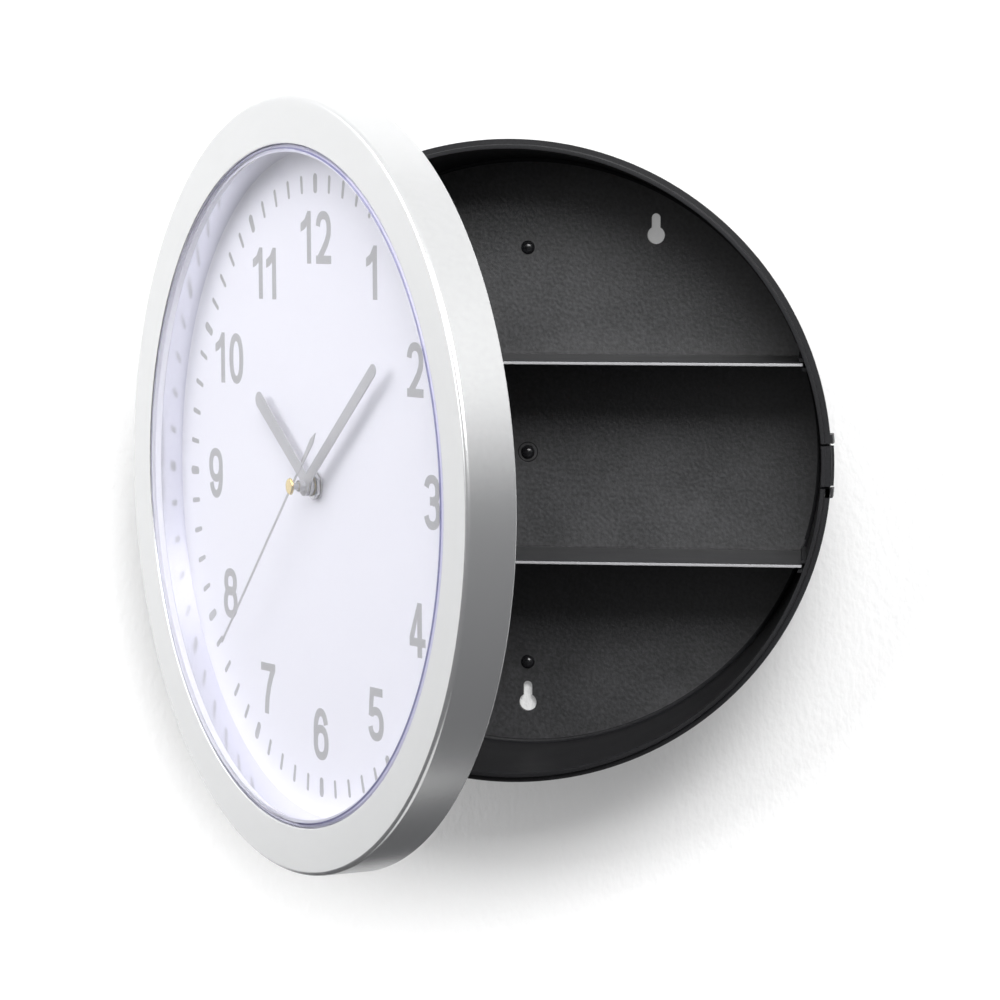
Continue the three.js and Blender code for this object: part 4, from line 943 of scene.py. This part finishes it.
def bar_shape(x0, z0, x1, z1):
    """A squared bar of print."""
    return flat_shape([(x0, z0), (x1, z0), (x1, z1), (x0, z1)])


def joined(first, *rest):
    """Strokes that overlap, made one numeral."""
    for piece in rest:
        shape_with(first, piece, "UNION")
    return first


def ring_shape(x, z, wide, tall):
    """A closed bowl, drawn in two halves that overlap a little."""
    upper = stroke(bowl(x, z, wide, tall, -4, 184))
    lower = stroke(bowl(x, z, wide, tall, 176, 364))
    return joined(upper, lower)


half = (DIGIT_WIDTH - STEM) / 2
top = DIGIT_HEIGHT - CROSSBAR
digits = {
    "0": ring_shape(half, top / 2, half, top / 2),
    "1": flat_shape(
        [
            (4.6, 0),
            (ONE_WIDTH, 0),
            (ONE_WIDTH, DIGIT_HEIGHT),
            (5.3, DIGIT_HEIGHT),
            (3.0, 14.5),
            (0, 13.2),
            (0, 10.4),
            (2.6, 11.1),
            (4.6, 12.3),
        ]
    ),
    "2": joined(
        stroke(bowl(half, top - 4.4, half, 4.4, 172, -28) + [(6.3, 5.6), (3.4, 2.7), (0.6, 0.2)]),
        bar_shape(0, 0, DIGIT_WIDTH, CROSSBAR),
    ),
    "3": joined(
        stroke(bowl(half - 0.1, 10.9, half - 0.3, 3.6, 168, -84)),
        stroke(bowl(half, 3.95, half, 3.95, 84, -168)),
        bar_shape(4.1, 7.6, 6.2, 10.3),
    ),
    "4": joined(
        bar_shape(5.2, 0, 8.3, DIGIT_HEIGHT),
        bar_shape(-0.2, 3.4, 10.7, 6.1),
        flat_shape(
            [
                (-0.2, 4.2),
                (2.2, 4.2),
                (2.9, 6.1),
                (5.3, 12.3),
                (6.6, DIGIT_HEIGHT),
                (5.4, DIGIT_HEIGHT),
                (-0.2, 6.3),
            ]
        ),
    ),
    "5": joined(
        bar_shape(1.6, DIGIT_HEIGHT - CROSSBAR, 10.5, DIGIT_HEIGHT),
        flat_shape(
            [(0.5, 8.0), (3.2, 7.6), (4.4, 15.5), (4.4, DIGIT_HEIGHT), (1.6, DIGIT_HEIGHT)]
        ),
        stroke(bowl(half, 4.2, half, 4.2, 132, -168)),
    ),
    "6": joined(
        ring_shape(half, 4.5, half, 4.5),
        stroke(bowl(half, top / 2, half, top / 2, 200, 24)),
    ),
    "7": joined(
        bar_shape(0, DIGIT_HEIGHT - CROSSBAR, DIGIT_WIDTH, DIGIT_HEIGHT),
        stroke([(8.1, 13.9), (6.4, 11.4), (4.6, 7.9), (3.3, 3.9), (2.8, 0.4), (2.7, -1.35)]),
    ),
    "8": joined(ring_shape(half, 4.1, half, 4.1), ring_shape(half, 11.15, half - 0.45, 3.35)),
}
digits["9"] = copy_of(digits["6"], "nine")
for vertex in digits["9"].data.vertices:
    vertex.co.x = DIGIT_WIDTH * MM - vertex.co.x
    vertex.co.z = DIGIT_HEIGHT * MM - vertex.co.z


def bar(name, length, width, front, thickness, sides=12):
    """An upright bar with round ends, its foot at the middle of the dial."""
    bpy.ops.object.select_all(action="DESELECT")
    bpy.ops.mesh.primitive_circle_add(
        vertices=4 * sides,
        radius=width / 2 * MM,
        fill_type="NGON",
        location=(0, front * MM, 0),
        rotation=(math.pi / 2, 0, 0),
    )
    piece = bpy.context.object
    piece.name = piece.data.name = name
    bpy.ops.object.transform_apply()
    edit_part(piece, lambda vertex: vertex.co.z > -0.0001 * MM)
    bpy.ops.transform.translate(value=(0, 0, (length - width) * MM))
    bpy.ops.mesh.select_all(action="SELECT")
    bpy.ops.mesh.extrude_region_move(TRANSFORM_OT_translate={"value": (0, thickness * MM, 0)})
    bpy.ops.mesh.select_all(action="SELECT")
    bpy.ops.mesh.normals_make_consistent(inside=False)
    leave_edit()
    return piece


prints = []
for minute in range(60):
    length, width = HOUR_MARK if minute % 5 == 0 else MINUTE_MARK
    mark = bar("mark", length, width, DIAL_FACE - PRINT, PRINT, sides=3)
    moved(mark, z=MARK_RADIUS - length / 2 + width / 2)
    mark.data.transform(Matrix.Rotation(math.radians(6 * minute), 4, "Y"))
    prints.append(mark)
for hour in range(1, 13):
    glyphs = []
    pen = 0
    for character in str(hour):
        glyph = copy_of(digits[character], "numeral")
        glyphs.append(moved(glyph, x=pen))
        pen += ONE_WIDTH if character == "1" else DIGIT_WIDTH
        pen += ELEVEN_GAP if hour == 11 else DIGIT_GAP
    across = [vertex.co.x / MM for glyph in glyphs for vertex in glyph.data.vertices]
    radius = LEFT_NUMERAL_RADIUS if hour in (10, 11) else NUMERAL_RADIUS
    bearing = math.radians(30 * hour)
    for glyph in glyphs:
        moved(
            glyph,
            x=radius * math.sin(bearing) - (min(across) + max(across)) / 2,
            z=radius * math.cos(bearing) - DIGIT_HEIGHT / 2,
        )
    prints += glyphs
for glyph in digits.values():
    bpy.data.objects.remove(glyph)
dial_print = together(prints, "dial_print")
dial_print.data.transform(Matrix.Rotation(math.radians(PRINT_TURN), 4, "Y"))
moved(dial_print, x=PRINT_SHIFT[0], z=PRINT_SHIFT[1])
hung(dial_print, "door", "hand_grey", print_grey)


# Bush, washer and nut. The movement's threaded brass bush comes through the dial, and a
# hexagonal nut on a washer clamps the two together. The bush keeps its plain solid.
NUT_ACROSS = 8.6
NUT_CORNER = NUT_ACROSS / 2 / math.cos(math.pi / 6)
WASHER_RADIUS = 4.6


def paint_solids(look, *nodes):
    """Gives its finish to each solid that keeps its plain shape."""
    for node in nodes:
        coats = frame["nodes"][node].data.materials
        coats.clear()
        coats.append(look)


bush_brass = moulded(
    "bush_brass", (0.55, 0.45, 0.24), (0.66, 0.55, 0.3), 0.3, 3, 0.004, metal=1, mottle=5
)
paint_solids(bush_brass, "centre_bush")
washer = turned(
    "washer",
    [
        (BUSH_HOLE, 10.7),
        (WASHER_RADIUS, 10.7),
        (WASHER_RADIUS, 11.1),
        (BUSH_HOLE, 11.1),
        (BUSH_HOLE, 10.7),
    ],
    around=64,
)
round_edges(washer, 0.1)
hung(washer, "door", "nut_steel", steel, "bush_washer")
nut = turned(
    "nut",
    [(BUSH_HOLE, 9.3), (NUT_CORNER, 9.3), (NUT_CORNER, 10.4), (BUSH_HOLE, 10.4), (BUSH_HOLE, 9.3)],
    around=6,
)
nut_bore = turned("nut_bore", [(BUSH_HOLE, 8), (BUSH_HOLE, 12)], around=48, filled=True)
shape_with(nut, nut_bore, "DIFFERENCE")
round_edges(nut, 0.18)
hung(nut, "door", "nut_steel", steel, "bush_nut")


# Hands. Flat stamped blades, painted grey, each on its own pipe of the movement. They are
# drawn pointing to twelve and turned to the time shown.
TIME_SHOWN = 10 * 3600 + 8 * 60 + 37.4
hand_angles = {
    "hour": TIME_SHOWN / 43200 * 360,
    "minute": TIME_SHOWN % 3600 / 3600 * 360,
    "second": TIME_SHOWN % 60 / 60 * 360,
}
HUB_RADIUS = 3.3
BLADE_THICKNESS = 0.4
HOUR_LENGTH = 48.8
HOUR_FRONT = 8.0
MINUTE_LENGTH = 67
MINUTE_FRONT = 6.2
SECOND_LENGTH = 80
SECOND_FRONT = 1.9
SECOND_BACK = 2.2


def hand(kind, piece, slot, look, *nodes):
    """Turns a hand to its place on the dial and hangs it on its own body."""
    piece.data.transform(Matrix.Rotation(math.radians(hand_angles[kind]), 4, "Y"))
    return hung(piece, kind, slot, look, *nodes)


def tapered(name, length, root, tip, front):
    """A blade with a rounded tip, from one width at its root to another at its tip."""
    blade = bar(name, length + tip / 2, tip, front, BLADE_THICKNESS)
    for vertex in blade.data.vertices:
        if vertex.co.z < 0.1 * MM:
            vertex.co.x *= root / tip
    return blade


def with_drum(piece, radius, low, high, how="UNION", around=48):
    """Adds a short drum on the clock's axis to a hand, or bores it out."""
    drum = turned("hub", [(radius, low), (radius, high)], around=around, filled=True)
    return shape_with(piece, drum, how)


hand_grey = moulded(
    "hand_grey", (0.4, 0.4, 0.415), (0.46, 0.46, 0.475), 0.42, 2, 0.004, metal=0.2, mottle=12
)
hour_blade = tapered("hour_blade", HOUR_LENGTH, 4.6, 5.4, HOUR_FRONT)
with_drum(hour_blade, HUB_RADIUS, 7.6, 8.8)
with_drum(hour_blade, 2.6, 7, 9.5, "DIFFERENCE")
round_edges(hour_blade, 0.09, over=50)
hand("hour", hour_blade, "hand_grey", hand_grey, "hour_hand")

minute_blade = tapered("minute_blade", MINUTE_LENGTH, 4.2, 4.2, MINUTE_FRONT)
with_drum(minute_blade, HUB_RADIUS, MINUTE_FRONT, 6.9)
with_drum(minute_blade, 1.95, 4.4, 6.5)
with_drum(minute_blade, 1.7, 4, 8, "DIFFERENCE")
round_edges(minute_blade, 0.09, over=50)
hand("minute", minute_blade, "hand_grey", hand_grey, "minute_hand")

# the second hand's tail widens and ends in a point
second_blade = block((-0.4, SECOND_FRONT, -6), (0.4, SECOND_BACK, SECOND_LENGTH), "second_blade")
tail = block((-1.15, SECOND_FRONT, -22), (1.15, SECOND_BACK, -5), "tail")
for vertex in tail.data.vertices:
    if vertex.co.z > -6 * MM:
        vertex.co.x *= 0.35
edit_part(tail, lambda face: face.normal.z < -0.9, faces=True)
bpy.ops.mesh.extrude_region_move(TRANSFORM_OT_translate={"value": (0, 0, -4 * MM)})
bpy.ops.transform.resize(value=(0.02, 1, 1), center_override=(0, 0, 0))
leave_edit()
shape_with(second_blade, tail, "UNION")
with_drum(second_blade, 1.7, SECOND_FRONT, SECOND_BACK, around=32)
with_drum(second_blade, 1.1, 2.0, 4.1, around=32)
hand("second", second_blade, "hand_grey", hand_grey, "second_hand")


# Second hand's cap. A small turned brass button at the middle of the dial, pressed on the
# second hand's pipe and turning with it.
cap_brass = moulded(
    "cap_brass", (0.78, 0.6, 0.25), (0.86, 0.68, 0.32), 0.2, 3, 0.003, metal=1, mottle=5
)
cap = turned("cap", [(2.8, 1.6), *arc(2.2, 1.5, 0.5, 0, -90, 5)], around=64, filled=True)
hand("second", cap, "cap_brass", cap_brass, "second_cap")


# Back cover. Black plastic, a stepped disc let into the bezel from behind and held by six
# screws. The movement shows through its window, and the door's hinge knuckle is part of it.
KNUCKLE_DEPTH = HINGE_Y - DOOR_FRONT
KNUCKLE_HALF = 8

cover_black = moulded("cover_black", (0.016, 0.016, 0.018), (0.03, 0.03, 0.033), 0.5, 1.2, 0.04)
cover = turned(
    "cover",
    [(115, 12.7), (115, 14.5), (124.5, 14.5), (124.5, 16.7), (113, 16.7), (113, 14.9)],
    filled=True,
)
round_edges(cover, 0.25)
shape_with(cover, block((-28.6, 10, -28.63), (28.6, 20, 28.595)), "DIFFERENCE")
knuckle = rod(
    "knuckle", HINGE_X, KNUCKLE_DEPTH, -KNUCKLE_HALF, KNUCKLE_HALF, KNUCKLE_RADIUS, 48
)
web = block(
    (HINGE_X - 1.6, KNUCKLE_DEPTH, -KNUCKLE_HALF), (HINGE_X + 1.6, 15, KNUCKLE_HALF), "web"
)
shape_with(knuckle, web, "UNION")
round_edges(knuckle, 0.25)
shape_with(cover, knuckle, "UNION")
knuckle_bore = rod("knuckle_bore", HINGE_X, KNUCKLE_DEPTH, -10, 10, PIN_BORE_RADIUS, 32)
shape_with(cover, knuckle_bore, "DIFFERENCE")
for low in NOTCH_LOWS:
    notch = block((-129, NOTCH_FRONT, low), (-114.9, 19, low + NOTCH_HEIGHT))
    shape_with(cover, notch, "DIFFERENCE")
for x, z in screw_places:
    bore = turned("bore", [(1.5, 13), (1.5, 15.4), (2.9, 15.4), (2.9, 18)], around=32, filled=True)
    shape_with(cover, moved(bore, x=x, z=z), "DIFFERENCE")
hung(cover, "door", "cover_plastic", cover_black, "back_cover")


# Cover screws. Zinc-plated pan heads with a cross recess, driven through the cover into the
# bezel's bosses. No two of them stop at the same angle.
RECESS_FLOOR = 16.1
RECESS_LONG, RECESS_WIDE = 1.5, 0.25

for i, (x, z) in enumerate(screw_places):
    screw = turned(
        "screw",
        [(0.5, 6.1), (1.2, 7), (1.2, 15.7), (2.6, 15.7), (2.6, 16.2), (2.3, 16.6), (1.8, 16.7)],
        around=32,
        filled=True,
    )
    for half_x, half_z in ((RECESS_LONG, RECESS_WIDE), (RECESS_WIDE, RECESS_LONG)):
        slot = block((-half_x, RECESS_FLOOR, -half_z), (half_x, 18, half_z))
        shape_with(screw, slot, "DIFFERENCE")
    screw.name = screw.data.name = "screw_%d" % (i + 1)
    screw.data.transform(Matrix.Rotation(0.7 * i, 4, "Y"))
    moved(screw, x=x, z=z)
    hung(screw, "door", "steel", steel, "cover_screw_%d" % (i + 1))


# Movement's box. A black plastic case and its lid, with the red knob that sets the hands.
# They are copies of the plain solids, their edges broken as a mould leaves them.
def eased(node, name, width):
    """A copy of a solid, its loose faces merged and its edges rounded."""
    bpy.ops.object.select_all(action="DESELECT")
    piece = frame["nodes"][node].copy()
    piece.data = piece.data.copy()
    piece.parent = None
    for key in list(piece.keys()):
        del piece[key]
    piece.name = piece.data.name = name
    bpy.context.scene.collection.objects.link(piece)
    edit(piece)
    bpy.ops.mesh.remove_doubles(threshold=0.01 * MM)
    bpy.ops.mesh.dissolve_limited(angle_limit=math.radians(1))
    leave_edit()
    round_edges(piece, width, over=40)
    return piece


case_black = moulded("case_black", (0.02, 0.02, 0.022), (0.034, 0.034, 0.037), 0.45, 1.5, 0.02)
knob_red = moulded("knob_red", (0.4, 0.05, 0.03), (0.5, 0.07, 0.04), 0.4, 1.5, 0.01)
done(eased("movement_case", "case", 0.25), "door", "cover_plastic", case_black, "movement_case")
done(eased("movement_lid", "lid", 0.25), "door", "cover_plastic", case_black, "movement_lid")
done(eased("setting_knob", "knob", 0.2), "knob", "knob_red", knob_red, "setting_knob")


# Battery. One cell in a dark blue printed sleeve, between two contacts of spring steel. All
# three keep their plain solids.
cell_label = moulded("cell_label", (0.035, 0.05, 0.07), (0.05, 0.07, 0.1), 0.3, 1, 0.004, mottle=20)
paint_solids(cell_label, "battery_cell")
paint_solids(steel, "contact_positive", "contact_negative")


# Motor. A copper coil on a stack of steel plates turns a small magnet, to the beat of the
# crystal in its can on the green board. They are hidden in the case and keep their solids.
coil_copper = moulded(
    "coil_copper", (0.4, 0.14, 0.05), (0.5, 0.2, 0.08), 0.35, 6, 0.03, metal=0.8, mottle=4
)
magnet_grey = moulded(
    "magnet_grey", (0.09, 0.09, 0.1), (0.13, 0.13, 0.14), 0.4, 3, 0.01, metal=0.5, mottle=4
)
board_green = moulded("board_green", (0.015, 0.1, 0.04), (0.03, 0.15, 0.06), 0.4, 2, 0.01, mottle=6)
paint_solids(coil_copper, "coil")
paint_solids(magnet_grey, "rotor_magnet")
paint_solids(board_green, "circuit_board")
paint_solids(steel, "stator", "crystal_can")


# Train. Moulded white wheels and pinions run between the case and a white bridge, from the
# motor's pinion down to the hands' pipes. They are hidden too and keep their solids.
wheel_white = moulded("wheel_white", (0.7, 0.68, 0.6), (0.78, 0.76, 0.68), 0.4, 2, 0.01, mottle=8)
paint_solids(
    wheel_white,
    "train_bridge",
    "rotor_pinion",
    "fifth_wheel",
    "third_wheel",
    "second_wheel",
    "minute_wheel",
    "motion_wheel",
    "hour_wheel",
)
